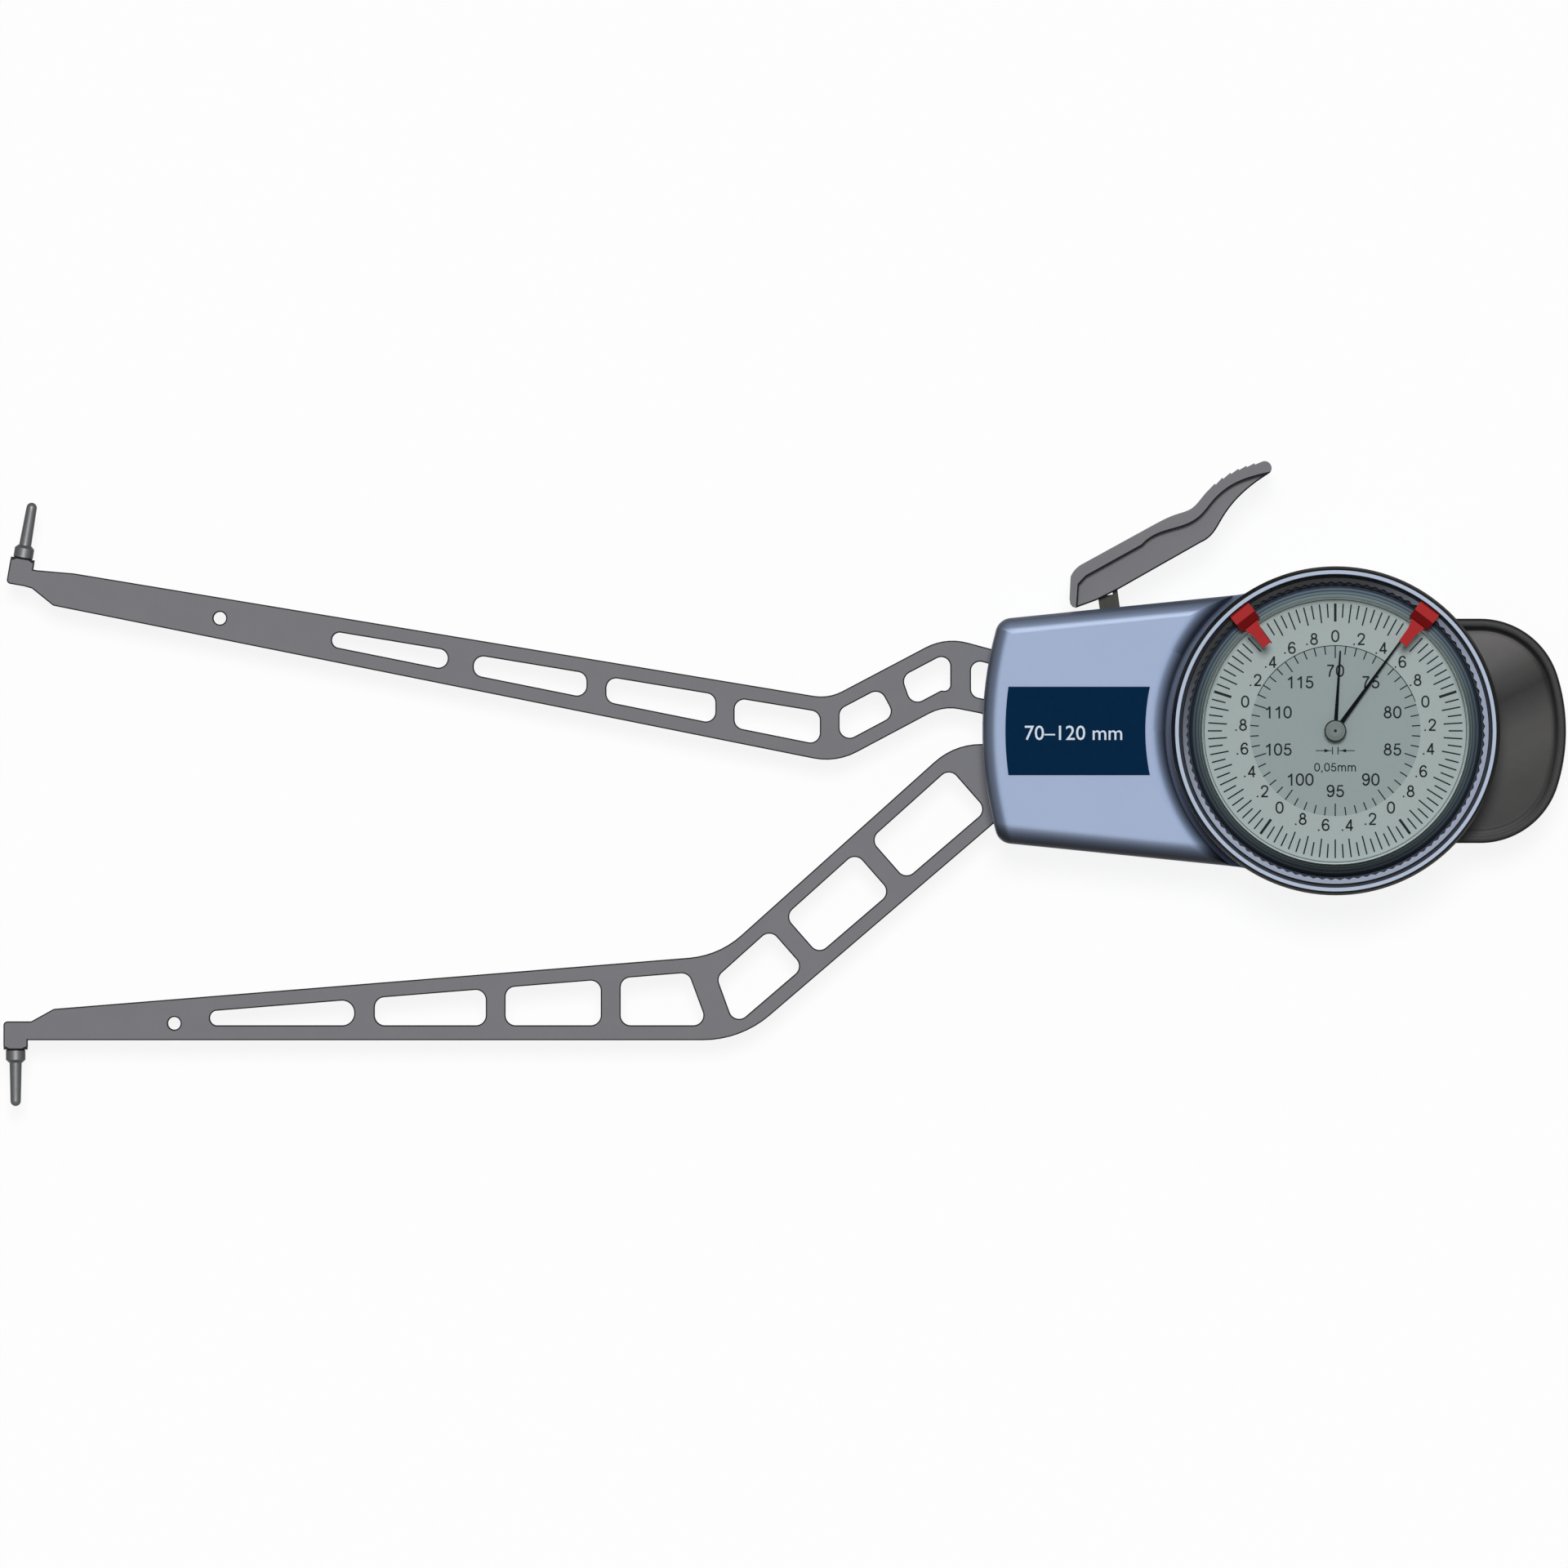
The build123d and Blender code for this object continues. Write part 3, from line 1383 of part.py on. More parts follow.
with BuildPart() as centre_arbor:
    add(
        turned(
            dial_axis,
            [
                (0, journal_bottom),
                (arbor_journal_radius, journal_bottom),
                (arbor_journal_radius, journal_shoulder),
                (centre_arbor_radius, journal_shoulder),
                (centre_arbor_radius, centre_pinion_bottom),
                (centre_shaft_radius, centre_pinion_top),
                (centre_shaft_radius, centre_arbor_top),
                (0, centre_arbor_top),
            ],
        )
    )
    add(
        prism(
            pinion_plan(dial_axis, wheel_module, idler_to_dial_angle + 180),
            centre_pinion_bottom,
            centre_pinion_top,
        )
    )
save(centre_arbor, "centre_arbor")

with BuildPart() as short_hand_wheel:
    add(
        prism(
            wheel_plan(
                dial_axis,
                transfer_teeth,
                wheel_module,
                idler_to_dial_angle + 180 + 180 / transfer_teeth,
                2.4,
                5.4,
                3,
            ),
            transfer_bottom,
            transfer_top,
        )
    )
    add(bars([dial_axis], pipe_radius, pipe_bottom, pipe_top))
    add(bars([dial_axis], pipe_bore_radius, pipe_bottom, pipe_top), mode=Mode.SUBTRACT)
save(short_hand_wheel, "short_hand_wheel")

# Hands, given as clockwise angles from the top of the dial
long_hand_angle = 90 - 36.0
short_hand_angle = 90 - 3.6
long_hand_length = dial_radius - 3.5
short_hand_length = dial_radius - 11.0


def hand_plan(angle, reach, root_width, tip_width, hub_radius):
    """Tapered hand round the dial axis."""
    with BuildSketch(mode=Mode.PRIVATE) as plan:
        Circle(hub_radius)
        add(
            plan_inside(
                [
                    polar(polar(dial_axis, 0.5, angle), root_width / 2, angle - 90),
                    polar(polar(dial_axis, reach, angle), tip_width / 2, angle - 90),
                    polar(polar(dial_axis, reach, angle), tip_width / 2, angle + 90),
                    polar(polar(dial_axis, 0.5, angle), root_width / 2, angle + 90),
                ]
            )
        )
    return plan.sketch


with BuildPart() as long_hand:
    add(
        prism(
            hand_plan(long_hand_angle, long_hand_length, 0.9, 0.3, 1.6),
            long_hand_bottom,
            long_hand_bottom + hand_thickness,
        )
    )
    add(
        bars([dial_axis], centre_shaft_radius, long_hand_bottom, long_hand_bottom + hand_thickness),
        mode=Mode.SUBTRACT,
    )
save(long_hand, "long_hand")

with BuildPart() as short_hand:
    add(
        prism(
            hand_plan(short_hand_angle, short_hand_length, 0.8, 0.3, 2.0),
            short_hand_bottom,
            short_hand_bottom + hand_thickness,
        )
    )
    add(
        bars([dial_axis], pipe_radius, short_hand_bottom, short_hand_bottom + hand_thickness),
        mode=Mode.SUBTRACT,
    )
save(short_hand, "short_hand")

hub_cap_radius = 2.2
hub_cap_bottom = long_hand_bottom + hand_thickness
hub_cap_top = hub_cap_bottom + 0.95
hub_dimple_radius = 0.3

with BuildPart() as hub_cap:
    add(
        turned(
            dial_axis,
            [
                (0, centre_arbor_top),
                (centre_shaft_radius, centre_arbor_top),
                (centre_shaft_radius, hub_cap_bottom),
                (hub_cap_radius, hub_cap_bottom),
                (hub_cap_radius, hub_cap_top - 0.45),
                (hub_cap_radius - 0.25, hub_cap_top - 0.2),
                (hub_cap_radius / 2, hub_cap_top),
                (hub_dimple_radius, hub_cap_top),
                (0, hub_cap_top - 0.3),
            ],
        )
    )
save(hub_cap, "hub_cap")

# Hairspring round the collet of the idler arbor, held at its outer end by a stud
hairspring_bottom = collet_bottom + 0.3
hairspring_top = hairspring_bottom + 1.0
hairspring_strip = 0.13
hairspring_turns = 3.5
hairspring_stud_radius = 0.6
hairspring_outer_radius = distance(idler_axis, hairspring_stud_place) - 0.5
hairspring_points_per_turn = 20
stud_angle = direction(idler_axis, hairspring_stud_place)


def hairspring_plan():
    """Flat spiral strip from the collet out to the stud."""
    steps = round(hairspring_turns * hairspring_points_per_turn)
    inner = []
    outer = []
    for number in range(steps + 1):
        share = number / steps
        angle = stud_angle - (1 - share) * hairspring_turns * 360
        radius = collet_radius + (hairspring_outer_radius - collet_radius) * share
        inner.append(polar(idler_axis, radius, angle))
        outer.append(polar(idler_axis, radius + hairspring_strip, angle))
    return plan_inside(inner + outer[::-1])


with BuildPart() as hairspring:
    add(prism(hairspring_plan(), hairspring_bottom, hairspring_top))
    add(bars([idler_axis], collet_radius + 0.02, hairspring_bottom, hairspring_top), mode=Mode.SUBTRACT)
    add(
        bars([hairspring_stud_place], hairspring_stud_radius, hairspring_bottom, hairspring_top),
        mode=Mode.SUBTRACT,
    )
save(hairspring, "hairspring")

with BuildPart() as hairspring_stud:
    add(pin(hairspring_stud_place, hairspring_stud_radius, chassis_top, hairspring_top + 0.3))
save(hairspring_stud, "hairspring_stud")

# Upper movement plate on three pillars, its screws and the bushes of the arbors
plate_screw_radius = 0.8
plate_screw_depth = 3.0
arbor_clearance = 0.03

with BuildPart() as movement_pillars:
    for place in pillar_places:
        add(
            turned(
                place,
                [
                    (0, chassis_bottom + 0.1),
                    (pillar_spigot_radius, chassis_bottom + 0.1),
                    (pillar_spigot_radius, chassis_top),
                    (pillar_radius, chassis_top),
                    (pillar_radius, upper_plate_bottom),
                    (0, upper_plate_bottom),
                ],
            )
        )
        add(
            bars([place], plate_screw_radius, upper_plate_bottom - plate_screw_depth, upper_plate_bottom),
            mode=Mode.SUBTRACT,
        )
save(movement_pillars, "movement_pillars")

with BuildPart() as upper_plate:
    add(bars([dial_axis], upper_plate_radius, upper_plate_bottom, upper_plate_top))
    add(bars([idler_axis], arbor_bush_radius, upper_plate_bottom, upper_plate_top), mode=Mode.SUBTRACT)
    add(bars([dial_axis], pipe_radius + 0.9, upper_plate_bottom, upper_plate_top), mode=Mode.SUBTRACT)
    add(bars(pillar_places, plate_screw_radius, upper_plate_bottom, upper_plate_top), mode=Mode.SUBTRACT)
save(upper_plate, "upper_plate")

plate_screw_head_height = 0.25
plate_screw_head_radius = 1.5

with BuildPart() as plate_screws:
    for place in pillar_places:
        add(
            turned(
                place,
                [
                    (0, upper_plate_bottom - plate_screw_depth + 0.2),
                    (plate_screw_radius, upper_plate_bottom - plate_screw_depth + 0.2),
                    (plate_screw_radius, upper_plate_top),
                    (plate_screw_head_radius, upper_plate_top),
                    (plate_screw_head_radius, upper_plate_top + plate_screw_head_height),
                    (0, upper_plate_top + plate_screw_head_height),
                ],
            )
        )
save(plate_screws, "plate_screws")

with BuildPart() as arbor_bushes:
    for place in (idler_axis, dial_axis):
        add(
            ring(
                place,
                arbor_journal_radius + arbor_clearance,
                arbor_bush_radius,
                chassis_bottom,
                chassis_top + 0.2,
            )
        )
    add(
        ring(
            idler_axis,
            arbor_journal_radius + arbor_clearance,
            arbor_bush_radius,
            upper_plate_bottom - 0.2,
            upper_plate_top,
        )
    )
    add(
        ring(
            dial_axis,
            pipe_radius + arbor_clearance,
            pipe_radius + 0.9,
            upper_plate_bottom - 0.2,
            upper_plate_top,
        )
    )
save(arbor_bushes, "arbor_bushes")

# Bezel: spigot in the boss, ledge for the dial, rim, groove and serrated inner ring
bezel_underside_radius = bezel_radius - 0.8
bezel_top = crystal_top + 2.6
second_ring_top = bezel_top - 2.0
groove_floor = second_ring_top - 1.0
serrations = 104
channel_floor = crystal_top - 1.2
dial_ledge_width = 1.1
dial_ledge_radius = dial_radius - dial_ledge_width
dial_ledge_thickness = 0.7

with BuildPart() as bezel_ring:
    add(
        turned(
            dial_axis,
            [
                (dial_ledge_radius, dial_bottom - dial_ledge_thickness),
                (spigot_inner_radius, dial_bottom - dial_ledge_thickness),
                (spigot_inner_radius, spigot_bottom),
                (spigot_outer_radius, spigot_bottom),
                (spigot_outer_radius, bezel_bottom),
                (bezel_underside_radius, bezel_bottom),
                (bezel_radius, bezel_bottom + 1.2),
                (bezel_radius, bezel_top - 1.3),
                (bezel_radius - 0.4, bezel_top - 0.4),
                (bezel_radius - 0.8, bezel_top),
                (groove_outer_radius + 0.15, bezel_top),
                (groove_outer_radius, bezel_top - 0.15),
                (groove_outer_radius, groove_floor),
                (groove_inner_radius, groove_floor),
                (groove_inner_radius, second_ring_top - 0.15),
                (groove_inner_radius - 0.15, second_ring_top),
                (serration_inner_radius, second_ring_top),
                (serration_inner_radius, channel_floor),
                (crystal_seat_radius, channel_floor),
                (crystal_seat_radius, crystal_bottom),
                (bezel_bore_radius, crystal_bottom),
                (bezel_bore_radius, dial_bottom),
                (dial_ledge_radius, dial_bottom),
            ],
        )
    )
    notches = []
    for number in range(serrations):
        notches.append(polar(dial_axis, serration_inner_radius, number * 360 / serrations))
        notches.append(polar(dial_axis, serration_outer_radius, (number + 0.5) * 360 / serrations))
    add(prism(plan_inside(notches), channel_floor, second_ring_top), mode=Mode.SUBTRACT)
save(bezel_ring, "bezel_ring")

# Seal ring in the groove of the boss, just below the bezel
with BuildPart() as bezel_seal:
    seal_bottom = boss_top - seal_groove_depth
    add(
        turned(
            dial_axis,
            [
                (seal_radius - seal_wire_radius, seal_bottom),
                (seal_radius + seal_wire_radius, seal_bottom),
                (seal_radius + seal_wire_radius, boss_top),
                (seal_radius, boss_top + 0.25),
                (seal_radius - seal_wire_radius, boss_top),
            ],
        )
    )
save(bezel_seal, "bezel_seal")

# Dial plate with its locating notches, inner ring and crystal
dial_hole_radius = 2.2
dial_notch_radius = 0.6

with BuildPart() as dial_plate:
    add(bars([dial_axis], dial_radius, dial_bottom, dial_top))
    add(bars([dial_axis], dial_hole_radius, dial_bottom, dial_top), mode=Mode.SUBTRACT)
    notch_places = [polar(dial_axis, dial_radius, 0), polar(dial_axis, dial_radius, -90)]
    add(bars(notch_places, dial_notch_radius, dial_bottom, dial_top), mode=Mode.SUBTRACT)
save(dial_plate, "dial_plate")

with BuildPart() as inner_ring:
    add(
        turned(
            dial_axis,
            [
                (dial_radius - 0.6, dial_top),
                (bezel_bore_radius - 0.05, dial_top),
                (bezel_bore_radius - 0.05, crystal_bottom),
                (dial_radius + 0.2, crystal_bottom),
                (dial_radius - 0.5, crystal_bottom - 0.6),
            ],
        )
    )
save(inner_ring, "inner_ring")

crystal_radius = crystal_seat_radius - 0.1
crystal_edge_height = 0.5
crystal_steps = 3
crystal_step_width = 0.7
crystal_riser = 0.2
crystal_tread_drop = 0.2


def crystal_profile():
    """Half section of the crystal, whose edge rises inwards in shallow steps to a steeper lip."""
    points = [(0, crystal_bottom), (crystal_radius, crystal_bottom)]
    radius = crystal_radius
    height = crystal_bottom + crystal_edge_height
    for _ in range(crystal_steps):
        points.append((radius, height))
        radius -= crystal_step_width
        height += crystal_tread_drop
        points.append((radius, height))
        height += crystal_riser
    points.append((radius - crystal_riser, crystal_top - crystal_riser / 2))
    points.append((radius - 2 * crystal_riser, crystal_top))
    points.append((0, crystal_top))
    return points


with BuildPart() as crystal:
    add(turned(dial_axis, crystal_profile()))
save(crystal, "crystal")

# Tolerance markers that slide round the bezel, given as clockwise angles from the top
left_marker_angle = 90 + 38.6
right_marker_angle = 90 - 37.6
marker_width = 4.6
marker_underside = second_ring_top + 0.1
marker_top = bezel_top + 0.4
marker_inner_radius = dial_radius
marker_outer_radius = groove_outer_radius - 0.2
marker_tongue_width = 2.4
marker_tongue_radius = groove_inner_radius + 0.07
pointer_length = 5.1
pointer_bottom = crystal_top + 0.4
pointer_top = pointer_bottom + 0.8


def marker_section(angle, points, width):
    """Slab of a marker along a radius, from (radius, height) points, width across."""
    with BuildPart(mode=Mode.PRIVATE) as solid:
        with BuildSketch(
            Plane(
                (0, 0, 0),
                x_dir=(*polar((0, 0), 1, angle), 0),
                z_dir=(*polar((0, 0), 1, angle - 90), 0),
            )
        ):
            add(plan_inside(points))
        extrude(amount=width / 2, both=True)
    return solid.part


def tolerance_marker(angle):
    """Marker with a block over the inner ring, a foot, a groove tongue and a pointer."""
    block = [
        (marker_inner_radius, marker_underside),
        (marker_outer_radius, marker_underside),
        (marker_outer_radius, marker_top - 0.3),
        (marker_outer_radius - 0.3, marker_top),
        (marker_inner_radius + 1.8, marker_top),
        (marker_inner_radius + 0.2, marker_top - 1.3),
        (marker_inner_radius, marker_top - 1.7),
    ]
    tongue = [
        (marker_tongue_radius, groove_floor + 0.3),
        (marker_outer_radius, groove_floor + 0.3),
        (marker_outer_radius, marker_underside + 0.2),
        (marker_tongue_radius, marker_underside + 0.2),
    ]
    half_widths = [
        (marker_inner_radius + 1, 1.6),
        (marker_inner_radius, 1.6),
        (marker_inner_radius - 2.0, 1.05),
        (marker_inner_radius - pointer_length, 0.95),
    ]
    pointer = []
    for radius, half_width in half_widths:
        pointer.append(polar(polar(dial_axis, radius, angle), half_width, angle + 90))
    for radius, half_width in half_widths[::-1]:
        pointer.append(polar(polar(dial_axis, radius, angle), half_width, angle - 90))
    with BuildPart(mode=Mode.PRIVATE) as solid:
        add(marker_section(angle, block, marker_width))
        add(marker_section(angle, tongue, marker_tongue_width))
        add(prism(plan_inside(pointer), pointer_bottom, pointer_top))
    return solid.part


with BuildPart() as left_marker:
    add(tolerance_marker(left_marker_angle))
save(left_marker, "left_marker")

with BuildPart() as right_marker:
    add(tolerance_marker(right_marker_angle))
save(right_marker, "right_marker")
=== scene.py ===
"""Looks of an inside caliper gauge that lies on its back on a pale floor.

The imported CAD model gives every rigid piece. This script adds the print of the dial and the label,
finishes each piece with its own procedural material, and sets up the studio and the camera.
Lengths are in metres, in the frame of the CAD model. Radii about the axis of the dial are in
millimetres.
"""

from __future__ import annotations

import json
import logging
import math
from dataclasses import dataclass, field
from enum import Enum
from typing import Protocol

import bpy
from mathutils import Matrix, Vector

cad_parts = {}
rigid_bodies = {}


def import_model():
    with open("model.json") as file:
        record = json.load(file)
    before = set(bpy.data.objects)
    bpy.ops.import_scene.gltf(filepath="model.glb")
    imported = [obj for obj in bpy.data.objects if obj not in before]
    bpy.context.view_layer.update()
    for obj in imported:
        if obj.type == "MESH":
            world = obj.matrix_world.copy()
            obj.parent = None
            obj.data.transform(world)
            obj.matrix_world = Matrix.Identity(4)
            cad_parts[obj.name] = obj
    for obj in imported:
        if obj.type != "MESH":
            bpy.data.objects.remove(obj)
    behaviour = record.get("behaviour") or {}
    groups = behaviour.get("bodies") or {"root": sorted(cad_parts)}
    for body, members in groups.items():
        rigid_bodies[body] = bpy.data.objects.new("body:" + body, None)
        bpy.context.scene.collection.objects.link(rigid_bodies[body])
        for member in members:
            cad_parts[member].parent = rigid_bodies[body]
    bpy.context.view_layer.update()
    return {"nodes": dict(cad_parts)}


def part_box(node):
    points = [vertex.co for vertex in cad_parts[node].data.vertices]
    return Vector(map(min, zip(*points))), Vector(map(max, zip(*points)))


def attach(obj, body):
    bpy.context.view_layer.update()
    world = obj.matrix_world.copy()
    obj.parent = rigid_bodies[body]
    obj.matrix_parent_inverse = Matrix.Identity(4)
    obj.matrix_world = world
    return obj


LOG = logging.getLogger("caliper_gauge")
MM = 0.001
PRINT_THICKNESS = 0.02 * MM

Colour = tuple[float, float, float]
Stops = tuple[tuple[float, float], ...]
ColourStops = tuple[tuple[float, Colour], ...]


def linear(red: int, green: int, blue: int) -> Colour:
    """Linear colour of an 8-bit display colour.

    Args:
        red: Red as shown on a display, 0 to 255.
        green: Green as shown on a display, 0 to 255.
        blue: Blue as shown on a display, 0 to 255.

    Returns:
        The three linear values that a shader socket takes.
    """
    values = []
    for shown in (red, green, blue):
        share = shown / 255
        values.append(share / 12.92 if share <= 0.04045 else ((share + 0.055) / 1.055) ** 2.4)
    return (values[0], values[1], values[2])


def scaled(colour: Colour, factor: float) -> Colour:
    """The same colour, darker below a factor of one and lighter above."""
    return (colour[0] * factor, colour[1] * factor, colour[2] * factor)


def around(radius: float, clock_angle: float) -> Vector:
    """Point on the dial at a radius in millimetres and a clockwise angle in degrees from the top."""
    turn = math.radians(90 - clock_angle)
    return Vector((radius * math.cos(turn), radius * math.sin(turn), 0)) * MM


class Wiring:
    """A node tree, with the one method that adds nodes to it."""

    def __init__(self, tree: bpy.types.NodeTree) -> None:
        """Take the node tree of a material or a world."""
        self.tree = tree

    def node(
        self,
        kind: str,
        settings: dict[str, object] | None = None,
        inputs: dict[str | int, object] | None = None,
    ) -> bpy.types.Node:
        """Add one node.

        Args:
            kind: Blender's name for the node type.
            settings: Properties to set first, such as an operation, or the stops of a ramp.
            inputs: Numbers, colours, sockets or signals for the inputs, by name or number.

        Returns:
            The new node.
        """
        made = self.tree.nodes.new(kind)
        for key, value in (settings or {}).items():
            if key == "stops":
                self.set_stops(made, value)
            else:
                setattr(made, key, value)
        for key, value in (inputs or {}).items():
            socket = made.inputs[key]
            source = value.socket if isinstance(value, Signal) else value
            if isinstance(source, bpy.types.NodeSocket):
                self.tree.links.new(source, socket)
            else:
                socket.default_value = source
        return made

    def set_stops(self, ramp: bpy.types.Node, stops: ColourStops) -> None:
        """Give a colour ramp its stops.

        Args:
            ramp: The Color Ramp node.
            stops: Positions from 0 to 1, each with its colour.
        """
        elements = ramp.color_ramp.elements
        while len(elements) < len(stops):
            elements.new(0.5)
        for element, (position, colour) in zip(elements, stops):
            element.position = position
            element.color = (*colour, 1)


class Signal:
    """A number that varies over a surface, with arithmetic that adds its Math nodes."""

    def __init__(self, wiring: Wiring, socket: bpy.types.NodeSocket) -> None:
        """Wrap an output socket of a node tree."""
        self.wiring = wiring
        self.socket = socket

    def maths(self, operation: str, other: Signal | float = 0.0, swapped: bool = False) -> Signal:
        """Join this number and another with one Math node.

        Args:
            operation: Name of the Math node's operation.
            other: The second value, a number or a signal.
            swapped: True to put the other value first.

        Returns:
            The result as a new signal.
        """
        pair = {0: other, 1: self} if swapped else {0: self, 1: other}
        made = self.wiring.node("ShaderNodeMath", {"operation": operation}, pair)
        return Signal(self.wiring, made.outputs[0])

    def __add__(self, other: Signal | float) -> Signal:
        """Sum."""
        return self.maths("ADD", other)

    __radd__ = __add__

    def __mul__(self, other: Signal | float) -> Signal:
        """Product."""
        return self.maths("MULTIPLY", other)

    __rmul__ = __mul__

    def __sub__(self, other: Signal | float) -> Signal:
        """Difference."""
        return self.maths("SUBTRACT", other)

    def __rsub__(self, other: Signal | float) -> Signal:
        """Difference with this number second."""
        return self.maths("SUBTRACT", other, swapped=True)

    def __truediv__(self, other: Signal | float) -> Signal:
        """Quotient."""
        return self.maths("DIVIDE", other)

    def __gt__(self, other: Signal | float) -> Signal:
        """One where this number is greater, else zero."""
        return self.maths("GREATER_THAN", other)

    def __lt__(self, other: Signal | float) -> Signal:
        """One where this number is less, else zero."""
        return self.maths("LESS_THAN", other)

    def power(self, exponent: float) -> Signal:
        """This number to a power."""
        return self.maths("POWER", exponent)

    def clamped(self) -> Signal:
        """This number kept between zero and one."""
        return self.maths("MAXIMUM", 0.0).maths("MINIMUM", 1.0)


class EdgeShade(Enum):
    """Painted shade that darkens a finish where it tilts, as (upward share of normal, factor) stops."""

    ROUNDED = ((0.0, 0.9), (0.08, 0.6), (0.2, 0.2), (0.6, 0.2), (0.84, 0.4), (0.93, 0.6), (0.99, 1.0))
    BROKEN = ((0.0, 0.95), (0.1, 0.7), (0.2, 0.1), (0.85, 0.1), (0.96, 0.95), (1.0, 1.0))
    BEVELLED = ((0.0, 0.95), (0.2, 0.6), (0.9, 0.45), (0.99, 0.95), (1.0, 1.0))
    # Above one, BAR paints a highlight on a bar's level top.
    BAR = ((0.0, 0.55), (0.3, 0.5), (0.6, 0.62), (0.85, 0.85), (0.97, 1.0), (1.0, 1.12))
    MOULDED = ((0.0, 0.85), (0.2, 0.62), (0.7, 0.6), (0.95, 0.95), (1.0, 1.0))


@dataclass(frozen=True)
class Texture:
    """Fine relief of a surface and its uneven roughness, with lengths in metres.

    The roughness wanders in patches from the least by the spread. The relief has grains of one
    size, with more or fewer finer layers of detail in them.
    """

    patch: float
    least_rough: float
    spread: float
    grain: float
    depth: float
    strength: float
    detail: float = 3.0


class Finish(Wiring):
    """One material, built node by node around a Principled shader."""

    def __init__(
        self, name: str, specular: float = 0.5, metallic: float = 0.0, roughness: float = 0.5
    ) -> None:
        """Start a material whose colour is set later.

        Args:
            name: Name of the material.
            specular: Specular level of the surface.
            metallic: One for bare metal, zero for plastic, paint and print.
            roughness: Roughness where nothing varies it.
        """
        self.material = bpy.data.materials.new(name)
        self.material.use_nodes = True
        super().__init__(self.material.node_tree)
        self.shader = self.tree.nodes["Principled BSDF"]
        self.shader.inputs["Roughness"].default_value = roughness
        self.shader.inputs["Metallic"].default_value = metallic
        self.shader.inputs["Specular IOR Level"].default_value = specular
        self.place = self.node("ShaderNodeTexCoord").outputs["Object"]

    def signal(self, socket: bpy.types.NodeSocket) -> Signal:
        """Wrap a socket for arithmetic."""
        return Signal(self, socket)

    def axis(self, name: str) -> Signal:
        """Object coordinate along X, Y or Z, in metres."""
        split = self.node("ShaderNodeSeparateXYZ", inputs={"Vector": self.place})
        return self.signal(split.outputs[name])

    def normal(self, name: str) -> Signal:
        """Share of the surface's normal along X, Y or Z, where Z is one on a level face."""
        normal = self.node("ShaderNodeNewGeometry").outputs["Normal"]
        return self.signal(self.node("ShaderNodeSeparateXYZ", inputs={"Vector": normal}).outputs[name])

    def noise(self, size: float, detail: float = 2.0, stretch: Vector | None = None) -> Signal:
        """Noise from 0 to 1.

        Args:
            size: Length of one feature of the noise, in metres.
            detail: Number of finer layers.
            stretch: Factors along X, Y and Z, where above one is finer.

        Returns:
            The noise as a signal.
        """
        place = self.place
        if stretch is not None:
            place = self.node("ShaderNodeMapping", inputs={"Vector": place, "Scale": stretch}).outputs[0]
        inputs = {"Vector": place, "Scale": 1 / size, "Detail": detail}
        return self.signal(self.node("ShaderNodeTexNoise", inputs=inputs).outputs["Fac"])

    def radius(self) -> Signal:
        """Measure from the axis of the dial.

        Returns:
            The distance in millimetres.
        """
        across = self.axis("X")
        up = self.axis("Y")
        return (across * across + up * up).power(0.5) / MM

    def mix(
        self,
        share: Signal | float,
        first: Colour | bpy.types.NodeSocket,
        second: Colour | bpy.types.NodeSocket,
        blend: str = "MIX",
    ) -> bpy.types.NodeSocket:
        """Blend two colours, the second where share is one.

        Args:
            share: How much of the second colour there is.
            first: Colour or socket.
            second: Colour or socket.
            blend: Name of the Mix node's blend type.

        Returns:
            The blended colour's socket.
        """
        pair = []
        for colour in (first, second):
            pair.append((*colour, 1) if isinstance(colour, tuple) else colour)
        settings = {"data_type": "RGBA", "blend_type": blend}
        made = self.node("ShaderNodeMix", settings, {0: share, 6: pair[0], 7: pair[1]})
        return made.outputs[2]

    def ramp(self, share: Signal, stops: ColourStops) -> bpy.types.NodeSocket:
        """Colour read from a ramp of (position, colour) stops."""
        return self.node("ShaderNodeValToRGB", {"stops": stops}, {"Fac": share}).outputs["Color"]

    def grey_ramp(self, share: Signal, stops: Stops) -> bpy.types.NodeSocket:
        """Grey read from a ramp of (position, value) stops."""
        return self.ramp(share, tuple((position, (value, value, value)) for position, value in stops))

    def rings(self, bands: ColourStops, end_radius: float) -> bpy.types.NodeSocket:
        """Read a colour from bands about the axis of the dial.

        Args:
            bands: Radii in millimetres, each with the colour that is reached there.
            end_radius: Radius in millimetres that ends the last band.

        Returns:
            The colour's socket.
        """
        start = bands[0][0]
        width = end_radius - start
        stops = tuple(((radius - start) / width, colour) for radius, colour in bands)
        return self.ramp((self.radius() - start) / width, stops)

    def multiplied(
        self, colour: Colour | bpy.types.NodeSocket, shade: bpy.types.NodeSocket
    ) -> bpy.types.NodeSocket:
        """Darken a colour by a grey."""
        return self.mix(1.0, colour, shade, "MULTIPLY")

    def painted_edge_shade(self, colour: Colour | bpy.types.NodeSocket, shade: EdgeShade) -> bpy.types.NodeSocket:
        """Paint shade on a colour where its surface tilts, on rounded and broken edges."""
        return self.multiplied(colour, self.grey_ramp(self.normal("Z"), shade.value))

    def colour(self, value: bpy.types.NodeSocket) -> None:
        """Let a socket set the base colour."""
        self.tree.links.new(value, self.shader.inputs["Base Color"])

    def roughness(self, size: float, least: float, spread: float) -> None:
        """Let the roughness wander in patches of a size in metres, from the least by the spread."""
        wandering = self.noise(size) * spread + least
        self.tree.links.new(wandering.socket, self.shader.inputs["Roughness"])

    def alpha(self, value: Signal) -> None:
        """Let a signal set the opacity."""
        self.tree.links.new(value.socket, self.shader.inputs["Alpha"])

